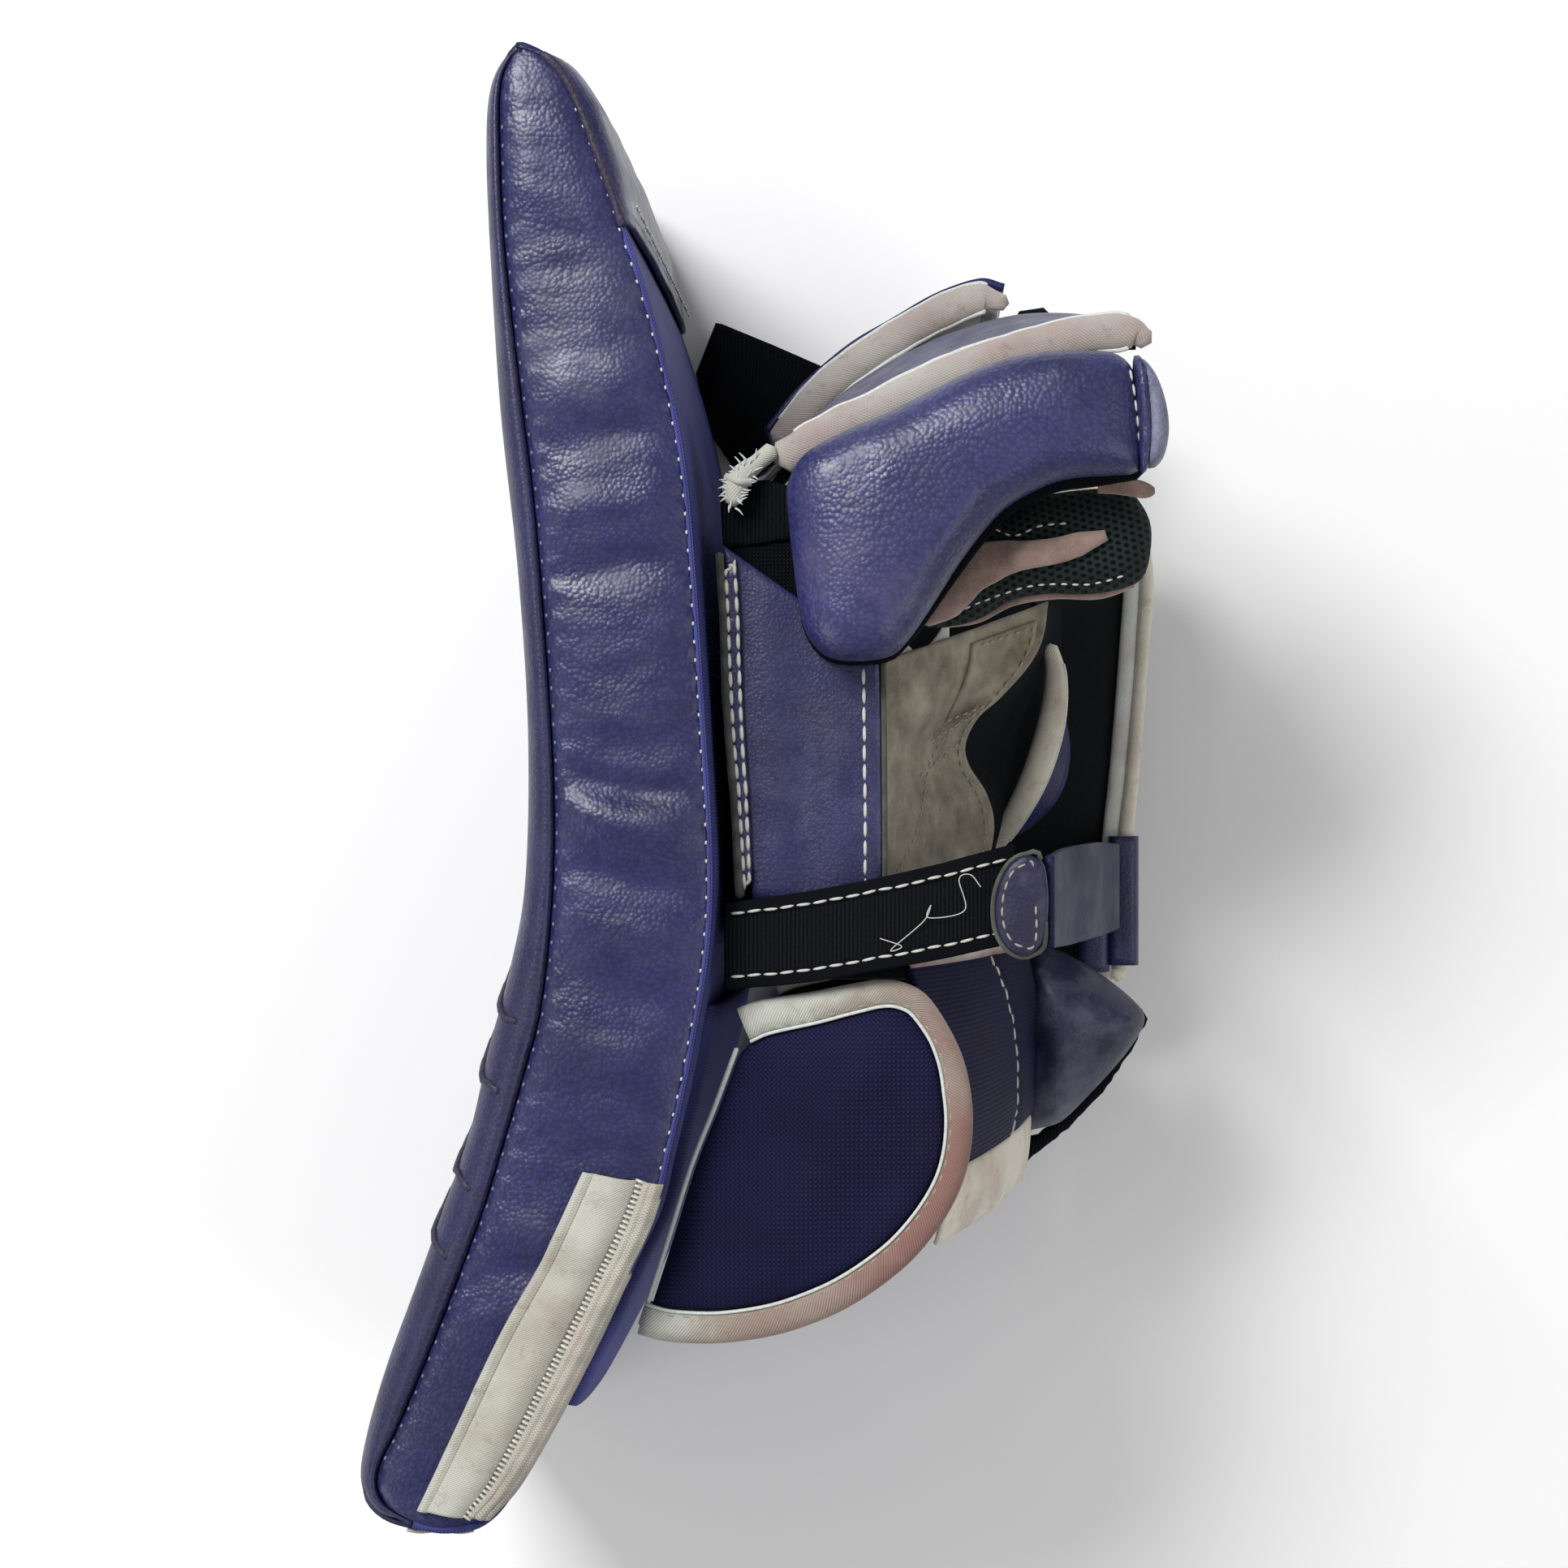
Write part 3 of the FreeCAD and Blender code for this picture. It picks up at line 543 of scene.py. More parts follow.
def make_materials():
    purple = (0.021, 0.023, 0.104)
    grey_scuff = (0.100, 0.102, 0.160)
    m = {
        "side": leather("pebbled_side_leather", purple, 1.15, (0.075, 0.080, 0.125), 0.35, 0.36, 0.17),
        "face": leather("pebbled_face_leather", (0.022, 0.022, 0.085), 1.0, (0.06, 0.055, 0.08), 0.5, 0.42,
                        0.14),
        "smooth": leather("fine_grain_leather", (0.026, 0.027, 0.104), 0.9, grey_scuff, 0.3, 0.36, 0.12),
        "guard": leather("guard_leather", (0.034, 0.036, 0.135), 1.25, (0.11, 0.085, 0.15), 0.35, 0.36,
                         0.20),
        "worn": leather("worn_leather", (0.013, 0.012, 0.055), 0.9, (0.095, 0.095, 0.15), 0.75, 0.5, 0.10),
        "strap": leather("strap_leather_finish", (0.020, 0.020, 0.075), 0.9, grey_scuff, 0.15, 0.48, 0.08,
                         0.16),
        "shell": leather("guard_shell_leather", (0.024, 0.026, 0.110), 1.0, grey_scuff, 0.2, 0.40, 0.10,
                         0.25),
        # The thumb tip cap's light blue-grey base colour is a painted reflection of bright surroundings at
        # a grazing angle; the scuffs on it are wear.
        "cap_painted_reflection": leather("rubbed_cap_painted_reflection", (0.17, 0.18, 0.29), 0.8, (0.28, 0.29, 0.36), 0.9, 0.68, 0.10),
        "piping": leather("cracked_piping", (0.030, 0.022, 0.060), 1.0, (0.26, 0.19, 0.11), 1.0, 0.6, 0.3),
        "navy": weave("navy_nylon", (0.068, 0.076, 0.260), 0.62, 0.16, gloss=0.6, sheen=0.0, shine=0.12),
        "ballistic": weave("purple_ballistic_nylon", (0.008, 0.008, 0.040), 0.85, 0.2,
                           (0.016, 0.010, 0.028), 0.62, 0.6, 0.0, shine=0.12),
        "black_cloth": weave("black_nylon", (0.003, 0.004, 0.006), 0.7, 0.15, gloss=0.6, sheen=0.0,
                             shine=0.06),
        "wall": weave("black_wall_cloth", (0.004, 0.006, 0.007), 0.45, 0.08, gloss=0.7, sheen=0.1,
                      angle=0.0),
        "cream": twill("cream_twill", (0.74, 0.69, 0.58), 0.8, (0.46, 0.37, 0.30), 0.60),
        "white": twill("white_twill", (0.48, 0.48, 0.42), 0.75, (0.36, 0.31, 0.25), 0.54),
        "pink": twill("pink_stained_twill", (0.44, 0.38, 0.33), 0.8, (0.27, 0.15, 0.125), 0.47,
                      (0.22, 0.10, 0.08)),
        "rim": stained_rim("wing_binding_twill"),
        "grey_binding": twill("grey_pink_twill", (0.44, 0.41, 0.38), 0.85, (0.36, 0.28, 0.26), 0.50,
                              (0.12, 0.09, 0.08)),
        "dull_binding": twill("shaded_twill", (0.74, 0.76, 0.72), 0.8, (0.50, 0.43, 0.37), 0.56),
        "lip": plain("white_edge_cord", (0.60, 0.63, 0.60), 0.7, 0.8, 0.06, Sheen_Weight=0.3),
        "suede": nap("tan_suede", (0.30, 0.235, 0.17), (0.155, 0.115, 0.08), patches=16.0),
        "grey_suede": nap("grey_suede", (0.39, 0.345, 0.25), (0.135, 0.112, 0.078), sheen=0.3,
                          patches=12.0),
        "pink_suede": nap("pink_suede", (0.36, 0.25, 0.215), (0.20, 0.13, 0.105), patches=9.0),
        "velour": nap("black_velour", (0.006, 0.011, 0.013), (0.003, 0.005, 0.007), 0.7, 0.5, 0.02,
                      shine=0.04),
        "raw_edge": nap("raw_leather_edge", (0.10, 0.105, 0.09), (0.045, 0.048, 0.042), 0.5, 0.2, 0.2, 5.0),
        "thread": plain("white_thread", (0.58, 0.57, 0.52), 0.6, 0.4, 0.10, Sheen_Weight=0.3),
        "purple_thread": plain("purple_thread", (0.16, 0.16, 0.22), 0.6, 0.4, 0.10),
        "old_thread": plain("dulled_thread", (0.34, 0.31, 0.24), 0.7, 0.4, 0.10, Sheen_Weight=0.2),
        "mesh": spacer_mesh("black_spacer_mesh"),
        "loop": loop_pile("loop_tape"),
        "ribbed": weave("ribbed_tape_edge", (0.004, 0.005, 0.007), 0.5, 0.15, gloss=0.65, sheen=0.0,
                        angle=0.0, shine=0.06),
        "coil": plain("translucent_coil", (0.74, 0.73, 0.66), 0.28, 2.0, 0.02, Transmission_Weight=0.25),
        "zip_tape": weave("zip_tape_weave", (0.46, 0.44, 0.38), 0.55, 0.12, (0.50, 0.43, 0.36), 0.55, 0.8),
        "enamel": plain("zip_enamel", (0.55, 0.55, 0.55), 0.35, 1.2, 0.03, Metallic=0.6),
        "foam": nap("dark_foam", (0.030, 0.030, 0.034), (0.02, 0.02, 0.022), 0.9, 0.2, 0.0),
        "plastic": plain("natural_plastic", (0.62, 0.62, 0.58), 0.45, 4.0, 0.05),
        "floor": Nodes("pale_floor").finish((0.90, 0.90, 0.90), 0.85, Specular_IOR_Level=0.1),
    }
    return m


M = make_materials()


def settle(piece, body, slot, *nodes, fill=None, cut=None):
    """Ties a piece to its body and hides the CAD nodes it stands for.
    cut is not used."""
    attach(piece, body)
    if nodes:
        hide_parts(*nodes)
    return piece


# ---------------------------------------------------------------- board
BOARD_FRONT = [(-54, -189.6), (-64, -187.5), (-68.2, -180), (-66.5, -168), (-61, -150), (-53.6, -130.4),
               (-46, -109.7), (-38.8, -89), (-34, -68.3), (-28.4, -47.6), (-24.3, -24), (-23.6, 14.5),
               (-26.3, 56), (-31, 97.3), (-34, 138.7), (-35.3, 165), (-34.6, 180), (-31, 188),
               (-26.5, 190.2)]
BOARD_SEAM = [(-54, -189.2), (-62, -184), (-63.4, -176), (-57.5, -163), (-50, -145), (-43, -127),
              (-36, -108),
              (-30.5, -90), (-25.5, -73), (-21.2, -56), (-18.3, -28), (-18, 2), (-20.2, 39), (-23, 73),
              (-26.5, 102), (-30.6, 139), (-31.8, 165), (-31.6, 180), (-29, 187.2), (-26.3, 190)]
BOARD_REAR = [(-54, -189.6), (-44, -191), (-34, -188.5), (-25, -177), (-9.7, -149.5), (1.9, -124.6),
              (8.3, -111), (12.4, -94), (17.4, -71.7), (22.2, -43), (23.2, -18.4), (21.2, 18.6),
              (18.6, 59), (15.6, 87.5), (8.9, 118), (0, 146), (-7, 166), (-13.2, 180.5), (-18.5, 187.2),
              (-26, 190.4)]
WIDTH = 203.0
SEAM_Z = 200.4
CAP_FROM = 0.868         # how far along the board the leather cap's raw edge lies
STATIONS = 260

front_line = smooth_line(BOARD_FRONT, STATIONS)
seam_line = smooth_line(BOARD_SEAM, STATIONS)
rear_line = smooth_line(BOARD_REAR, STATIONS)
front_line += left_of(front_line) * (1.8 * np.sin(np.linspace(0, math.pi, STATIONS)) ** 0.5)[:, None]
cap_swell = np.interp(rear_line[:, 1], [144, 158, 175, 186, 190.4], [1.6, 3.6, 4.2, 2.4, 0.4])
cap_line = rear_line - left_of(rear_line) * cap_swell[:, None]
FOLDS = [(101, 6, 0.7), (88, 4, -0.7), (72, 5, 0.6), (57, 4, -0.8), (42, 6, 0.3), (13, 5, -0.5),
         (3, 4, -1.1),
         (-7, 5, 1.0), (-22, 4, -0.7), (-36, 7, 0.6), (-52, 5, -0.5), (-70, 8, 0.7), (-96, 6, -0.4),
         (-118, 5, 0.5), (-128, 4, -0.6), (-139, 6, 0.6), (138, 6, -0.3), (150, 8, 0.3)]


def wall_lift(x, y, v):
    """Height of the side wall's leather above its seams, v of the way from front seam to rear."""
    dome = (1 - abs(2 * v - 1) ** 3.2) * 2.4
    bent = y + 3.5 * math.sin(3 * v + y / 40) + 4 * (v - 0.5)
    folds = sum(depth * bump_at(bent, at, width) for at, width, depth in FOLDS) * 6.8 * v * (1 - v)
    puckers = 0.35 * ripple(x, y * 2.2, size=11, seed=1) + 0.5 * ripple(x, y * 1.4, size=24, seed=2)
    gathers = 0.28 * math.sin(y * 0.9 + 2 * ripple(x, y, size=30)) * (bump_at(v, 0.06, 0.07)
                                                                      + bump_at(v, 0.94, 0.07))
    crease = -0.9 * (bump_at(v, 0, 0.03) + bump_at(v, 1, 0.03))
    return dome + folds + puckers * 4 * v * (1 - v) + gathers + crease


def wall_grid(near):
    across = np.concatenate([[0, 0.012, 0.03], np.linspace(0.06, 0.94, 40), [0.97, 0.988, 1]])
    grid = np.zeros((STATIONS, len(across), 3))
    for i in range(STATIONS):
        span = np.linalg.norm(rear_line[i] - seam_line[i])
        gain = min(1.0, span / 22)
        for j, v in enumerate(across):
            x, y = seam_line[i] + (rear_line[i] - seam_line[i]) * v
            rise = wall_lift(x, y, v) * gain
            if not near:
                rise = min(rise, WIDTH - SEAM_Z)
            grid[i, j] = (x, y, SEAM_Z + rise if near else WIDTH - SEAM_Z - rise)
    return grid


def roll_section(reach, turn, steps=9):
    """Quarter-round from a seam over to a face: pairs of how far over it is, and how far down in z."""
    made = []
    for k in range(steps + 1):
        a = math.pi / 2 * k / steps
        dip = 1.3 * math.exp(-(k / 0.8) ** 2)
        made.append((math.sin(a) * reach, -turn * (1 - math.cos(a)) + 1.4 * math.cos(a) - dip))
    return made


def face_grid(inner, outer, turn, swell, start=0, stop=STATIONS, lift=0.0):
    """The striking face or the back: from the near seam, over the edge, across, and to the far seam."""
    grid = []
    across = np.linspace(0, 1, 46)[1:-1]
    for i in range(start, stop):
        inward = inner[i]
        gap = outer[i] - inward
        reach = np.linalg.norm(gap)
        out = gap / (reach + 1e-9) if reach > 1e-3 else np.zeros(2)
        row = []
        near = [(over, down) for over, down in roll_section(reach, turn)]
        for over, down in near:
            p = inward + out * over
            row.append((p[0], p[1], SEAM_Z + down))
        top, low = SEAM_Z - turn, WIDTH - SEAM_Z + turn
        for w in across:
            z = top + (low - top) * w
            lump = swell * (math.sin(math.pi * w) ** 0.6 + 0.4 * ripple(outer[i][1], z, size=26, seed=4))
            p = outer[i] + out * (lump * min(1, reach / 3) + lift)
            row.append((p[0], p[1], z))
        for over, down in reversed(near):
            p = inward + out * over
            row.append((p[0], p[1], WIDTH - SEAM_Z - min(down, 0.3)))
        grid.append(row)
    return np.array(grid)


def rear_inner(shift):
    """The rear seam, moved shift towards the striking face, where the back's cloth starts its roll."""
    toward = front_line - rear_line
    toward /= np.linalg.norm(toward, axis=1)[:, None] + 1e-9
    return rear_line + toward * shift


def board_seam_stitches(name, line, inset, toward, near_wall, material, pitch=4.7):
    """Small tight stitches beside a seam of the near wall: only a dot of thread shows at each."""
    step = toward - line
    step /= np.linalg.norm(step, axis=1)[:, None] + 1e-9
    keep = slice(14, STATIONS - 12)
    path = (line + step * inset)[keep]
    path = np.hstack([path, np.full((len(path), 1), WIDTH + 3)])
    return stitch_row(name, surface_under(near_wall, path, 0.05), material, length=1.1, gap=pitch - 1.1,
                      width=0.7)


def make_board():
    near_wall = sheet_grid("board_side_near", wall_grid(True), 1.2, M["side"], flip=True)
    far_wall = sheet_grid("board_side_far", wall_grid(False), 1.2, M["side"])
    settle(near_wall, "board", "side_leather", "side_wall_near", fill=0.8)
    settle(far_wall, "board", "side_leather", "side_wall_far", fill=0.8)
    face = sheet_grid("board_face", face_grid(seam_line, front_line, 9.0, 1.2), 1.4, M["face"])
    settle(face, "board", "face_leather", "face_panel", fill=0.7)
    last = int(STATIONS * CAP_FROM) + 3
    back = sheet_grid("board_back_cloth", face_grid(rear_inner(1.2), rear_line, 4.0, 0.9, 0, last), 1.0,
                      M["navy"], flip=True)
    settle(back, "board", "navy_nylon", "back_cloth_panel", fill=0.4)
    first = int(STATIONS * CAP_FROM)
    cap = sheet_grid("board_tip_cap", face_grid(rear_inner(1.6), cap_line, 6.0, 1.1, first, STATIONS, 0.3),
                     1.6,
                     M["side"], flip=True)
    settle(cap, "board", "side_leather", "fingertip_end_cap", fill=0.5)
    make_board_inside()
    for name, line, inset, toward, thread in (("front_seam_stitches", seam_line, 1.0, rear_line,
                                               "purple_thread"),
                                              ("rear_seam_stitches", rear_line, 1.6, seam_line, "thread")):
        row = board_seam_stitches(name, line, inset, toward, near_wall, M[thread])
        settle(row, "board", "side_leather")
    piping = np.hstack([rear_inner(0.6)[first:], np.full((STATIONS - first, 1), SEAM_Z + 0.7)])
    wobble = [1.25 + 0.25 * ripple(p[0], p[1], size=5, seed=6) for p in piping]
    settle(tube("tip_cap_piping", piping[:-4], wobble[:-4], M["piping"], 10), "board", "side_leather")
    edge, out = cap_line[first + 3], -left_of(cap_line)[first + 3]
    row = [(edge[0] + out[0] * 2.2, edge[1] + 0.4 * math.sin(z), z) for z in np.linspace(197, 8, 60)]
    settle(stitch_row("tip_cap_stitches", row, M["thread"], 3.0, 1.8, 0.8), "board", "side_leather")
    make_face_bands()
    return near_wall


def loft(name, sections, material):
    """A closed solid through sections that all have the same number of points."""
    count = len(sections[0])
    verts = [p for ring in sections for p in ring]
    faces = [(i * count + k, i * count + (k + 1) % count, (i + 1) * count + (k + 1) % count,
              (i + 1) * count + k)
             for i in range(len(sections) - 1) for k in range(count)]
    faces += [tuple(reversed(range(count))), tuple(range(len(verts) - count, len(verts)))]
    return make_piece(name, verts, faces, material)


def make_board_inside():
    """The foam core and the plastic sheet in front of it, both hidden by the covers."""
    for name, node, slot, material, low, high in (
            ("board_foam", "board_foam_core", "foam", "foam", 0.30, 0.88),
            ("board_stiffener", "face_stiffener", "plastic_sheet", "plastic", 0.17, 0.24)):
        sections = []
        for i in range(18, STATIONS - 22, 4):
            span = rear_line[i] - front_line[i]
            a, b = front_line[i] + span * low, front_line[i] + span * high
            sections.append([(*a, 8), (*b, 8), (*b, 192), (*a, 192)])
        settle(loft(name, sections, M[material]), "board", slot, node)


def face_point(along, z, lift):
    """A point lift in front of the striking face, at a fraction of the way up the board."""
    i = along * (STATIONS - 1)
    p = front_line[int(i)]
    q = rear_line[int(i)]
    out = (p - q) / np.linalg.norm(p - q)
    w = (SEAM_Z - 9 - z) / (WIDTH - 2 * (WIDTH - SEAM_Z) - 18)
    swell = 1.2 * math.sin(math.pi * min(max(w, 0), 1)) ** 0.6 if 0 < w < 1 else 0
    drop = 0.0
    edge = max(0.0, z - (SEAM_Z - 9), (WIDTH - SEAM_Z + 9) - z)
    if edge > 0:
        reach = np.linalg.norm(front_line[int(i)] - seam_line[int(i)])
        drop = reach * (1 - math.sqrt(max(0.0, 1 - (edge / 10.2) ** 2)))
    p = p + out * (swell + lift - drop)
    return (p[0], p[1], z)


def make_face_bands():
    """Two chevron bands across the striking face, each marked by two dark cords."""
    rows = []
    for k, base in enumerate((0.315, 0.205)):
        for edge in (0.0, 0.045):
            path = [face_point(base + edge + 0.13 * (1 - abs(z - WIDTH / 2) / (WIDTH / 2)), z, 0.35)
                    for z in np.linspace(3.2, WIDTH - 2.6, 90)]
            rows.append(tube(f"cord_{k}_{edge}", path, 0.95, M["piping"], 8))
    settle(join("face_band_cords", *rows), "board", "face_leather")


# ---------------------------------------------------------------- zip
ZIP_LEFT = [(-9.5, -98.5), (-20.5, -122), (-31.2, -141), (-41.8, -163.6), (-52, -185.5)]
ZIP_RIGHT = [(11.4, -102), (7.6, -113), (1.2, -126), (-10.4, -150), (-25.4, -177), (-34.5, -187.6)]
ZIP_BANDS = (0.62, 0.74)          # where the flap ends and the far tape begins, across the opening


def make_zip(near_wall):
    rows, cols = 120, 56
    left, right = smooth_line(ZIP_LEFT, rows), smooth_line(ZIP_RIGHT, rows)
    v = np.linspace(0, 1, cols)
    plan = left[:, None] + (right - left)[:, None] * v[None, :, None]
    flat = np.dstack([plan, np.full((rows, cols), WIDTH + 6)]).reshape(-1, 3)
    base = surface_under(near_wall, flat, 0.35).reshape(rows, cols, 3)
    flap_end, tape_start = ZIP_BANDS

    def raised(lo, hi, rise, thickness, name, material):
        picked = [j for j in range(cols) if lo <= v[j] <= hi]
        grid = base[:, picked].copy()
        for j, col in enumerate(picked):
            for i in range(rows):
                grid[i, j, 2] += rise((v[col] - lo) / (hi - lo), i / rows, grid[i, j])
        return sheet_grid(name, grid, thickness, material, flip=True)

    def flap_rise(s, t, p):
        hem = 0.5 * bump_at(s, 0.05, 0.06) - 0.35 * bump_at(s, 0.2, 0.03)
        fold = 1.5 * math.sin(math.pi * min(1, max(0, (s - 0.2) / 0.8)) ** 1.5) ** 0.8
        return 0.7 + hem + fold + 0.45 * ripple(p[0], p[1], size=13, seed=8) * s

    def tape_rise(s, t, p):
        ribs = 0.18 * math.sin(s * 16)
        return 0.7 + 0.8 * math.sin(math.pi * s) + ribs + 0.2 * ripple(p[0], p[1], size=6, seed=9)

    flap = raised(0, flap_end, flap_rise, 0.9, "zip_flap", M["white"])
    settle(flap, "board", "zip_tape", "zip_tape_side")
    tape = raised(tape_start, 1, tape_rise, 0.9, "zip_far_tape", M["zip_tape"])
    settle(tape, "board", "zip_tape")
    bed = raised(flap_end - 0.04, tape_start + 0.04, lambda s, t, p: 0.25, 0.5, "zip_bed", M["zip_tape"])
    settle(bed, "board", "zip_tape")
    middle = base[:, int(cols * 0.685)].copy()
    middle[:, 2] += 0.9
    settle(make_coil("zip_coil", middle), "board", "zip_teeth", "zip_teeth_side")
    hem = base[:, int(cols * 0.115)].copy()
    hem[:, 2] += 1.0
    settle(stitch_row("zip_flap_stitches", hem, M["old_thread"], 2.6, 1.6, 0.6), "board", "zip_tape")
    make_end_zip()


def make_coil(name, path, pitch=1.35, reach=1.5):
    """The two coils of a closed zip: rounded turns side by side, alternately from either side."""
    path = np.array(path, float)
    length = np.linalg.norm(np.diff(path, axis=0), axis=1).sum()
    count = int(length / pitch)
    line = even(path, count)
    along = np.gradient(line, axis=0)
    along /= np.linalg.norm(along, axis=1)[:, None]
    turns = []
    for i in range(count):
        out = Vector((0, 0, 1)) if abs(along[i][2]) < 0.7 else Vector((0, -1, 0))
        side = np.cross(along[i], np.array(out))
        swing = 0.25 if i % 2 else -0.25
        ends = [line[i] + side * (reach * k + swing) + np.array(out) * 0.55 * (1 - k * k)
                for k in (-1, -0.5, 0, 0.5, 1)]
        turns.append(tube(f"{name}_{i}", ends, 0.42, M["coil"], 6))
    return join(name, *turns)


def make_end_zip():
    """The zip goes on across the cuff end of the board, where its slider is parked."""
    heights = np.linspace(8, 198, 80)
    for name, x_low, x_high, material in (("end_flap", -56, -48.8, "white"),
                                          ("end_tape", -45.6, -39, "zip_tape")):
        grid = [[(x, -191.4 - 0.5 * math.sin(math.pi * k / 7) + 0.15 * ripple(x, z, size=8), z)
                 for k, x in enumerate(np.linspace(x_low, x_high, 8))] for z in heights]
        piece = sheet_grid(f"zip_{name}", grid, 0.8, M[material])
        settle(piece, "board", "zip_tape", *(["zip_tape_end"] if name == "end_flap" else []))
    coil = make_coil("zip_end_coil", [(-47.2, -191.3, z) for z in heights])
    settle(coil, "board", "zip_teeth", "zip_teeth_end")
    outline = closed_line([(-51, 30.5), (-48.8, 41), (-45.6, 41), (-43.4, 30.5), (-47.2, 29.3)], 1.0)
    slider = pillow("slider_body", outline, 0, 2.6, 1.0, M["enamel"], 1.0)
    pull = pillow("pull_leaf", closed_line([(-49, 33), (-49.6, 14), (-47.2, 11.6), (-44.8, 14),
                                            (-45.4, 33)], 1.2),
                  0, 1.3, 0.6, M["enamel"], 1.2)
    for piece, y in ((slider, -192.6), (pull, -195.0)):
        for vertex in piece.data.vertices:
            x, z, up = vertex.co
            vertex.co = (x, y * MM - up + 0.0005, z)
    settle(slider, "slider", "zip_metal", "zip_slider")
    settle(pull, "slider", "zip_metal", "zip_pull")


# ---------------------------------------------------------------- side of the hand
def lift_to(points, z):
    return np.array([(p[0], p[1], z) for p in points], float)


PANEL_Z = (178.9, 181.3)
HEM_Z = (181.4, 183.4)


def make_side_panel():
    outline = corner_line([(24.4, 63.8), (47.9, 47.1), (65.8, 33.2), (66.2, 14.8), (66.5, -29.8),
                           (32.4, -29.8),
                           (28.5, 0), (26, 30)], 2.0)

    def drape(x, y, z, depth, top):
        pull = 0.5 * bump_at(x, 38 - y * 0.03, 4) - 0.45 * bump_at(x, 45 + y * 0.04, 5)
        return (x, y, z + (0.35 * ripple(x * 1.6, y * 0.5, size=12, seed=11) + 0.6 * pull if depth > 1.5
                           else 0))

    panel = pillow("thumb_side_panel", outline, *PANEL_Z, 1.0, M["smooth"], 2.0, drape)
    settle(panel, "board", "smooth_leather", "side_panel")
    edge = lift_to(even(np.array([(61.5, 31), (61.9, 5), (62.1, -29)]), 60), 190)
    settle(stitch_row("side_edge_stitches", surface_under(panel, edge, 0.15), M["thread"], 4.0, 0.8, 0.95),
           "board", "smooth_leather")
    raw = [(66.7, 33, 180.1), (67.0, 8, 180.1), (67.1, -29.5, 180.1)]
    settle(tube("side_raw_edge", smooth_line(raw, 40), 0.75, M["raw_edge"], 8, 1.5), "board",
           "smooth_leather")
    make_hem()


def make_hem():
    """The strip that ties the side panel to the board, box-stitched, its cut edge standing proud."""
    left = smooth_line([(23.2, 61), (24.2, 45), (25.2, 20), (27.2, -5), (28.6, -28.5)], 60)
    strip_in = left + left_of(left) * 1.4
    right = smooth_line([(28.4, 60), (29.4, 44), (30.2, 20), (31.7, -5), (32.6, -27.5)], 60)
    outline = np.vstack([right, strip_in[::-1]])
    strip = pillow("side_hem", corner_line([tuple(p) for p in outline[::4]], 2.0), *HEM_Z, 0.9,
                   M["smooth"], 1.8)
    settle(strip, "board", "smooth_leather", "side_panel_hem")
    raw = [(p[0] + 0.6, p[1], 182.8 + 0.3 * math.sin(p[1] / 5)) for p in left]
    wide = [1.15 + 0.2 * ripple(p[0], p[1], size=8, seed=12) for p in left]
    settle(tube("hem_raw_edge", raw, wide, M["raw_edge"], 10, 1.2), "board", "smooth_leather")
    for name, line, shift in (("hem_stitches_right", right, -0.8), ("hem_stitches_left", left, 1.9)):
        path = lift_to(line + left_of(line) * shift, 190)
        row = stitch_row(name, surface_under(strip, path, 0.2), M["thread"], 3.9, 0.9, 1.1)
        settle(row, "board", "smooth_leather")
    turn = smooth_line([(26, 58), (26.8, 60), (28.2, 58.2)], 12)
    bar = stitch_row("hem_bar_tack", surface_under(strip, lift_to(turn, 190), 0.3), M["thread"], 2.0, 0.2,
                     1.5)
    settle(bar, "board", "smooth_leather")


def make_gussets():
    gusset = corner_line([(26, 60), (27, 71), (45, 72), (52, 52), (44, 48)], 2.5)

    def fold(x, y, z, depth, top):
        return (x, y, z + 1.3 * ripple(x + y * 0.6, y * 0.4, size=7, seed=13))

    piece = pillow("black_gusset", gusset, 174.2, 176.2, 1.0, M["black_cloth"], 2.0, fold)
    settle(piece, "board", "black_nylon", "side_gusset")
    tab = corner_line([(24.4, 63), (23.6, 78), (28, 80.6), (36, 81), (47, 78), (50, 66)], 2.5)
    settle(pillow("hook_tab_root", tab, 176.5, 178.0, 0.7, M["loop"], 1.5), "board", "hook_loop")
    outer = even(np.array([(5.5, 131), (12, 147.5), (30, 140), (48, 132)], float), 24)
    inner = even(np.array([(10, 112), (18, 100), (27, 106), (36, 112)], float), 24)
    flap = [[(*(a + (b - a) * w), 8.4 + 0.5 * ripple(a[0], w * 30, size=20, seed=14))
             for w in np.linspace(0, 1, 20)]
            for a, b in zip(outer, inner)]
    flap_piece = sheet_grid("finger_end_flap_cloth", flap, 1.6, M["black_cloth"])
    settle(flap_piece, "board", "black_nylon", "finger_end_flap", cut=flap)
    hem = lift_to(smooth_line([(14.5, 144.5), (30, 138), (45.5, 130.6)], 40), 60)
    settle(stitch_row("flap_hem_stitches", surface_under(flap_piece, hem, 0.1), M["ribbed"], 2.4, 1.2, 0.6),
           "board", "black_nylon")


def upright(name, x_low, x_high, y_range, z_range, material, quilt=0.0, radius=3.0):
    """A pad standing against the board: a pillow over Y and Z, turned to face along X."""
    outline = corner_line([(y_range[0], z_range[0]), (y_range[1], z_range[0]), (y_range[1], z_range[1]),
                           (y_range[0], z_range[1])], 3.0)

    def channels(y, z, up, depth, top):
        sewn = -quilt * (bump_at((y + 400) % 26, 13, 2.2) if top else 0)
        return (x_low + up + sewn, y, z)

    return pillow(name, outline, 0, x_high - x_low, radius, material, 3.0, channels)


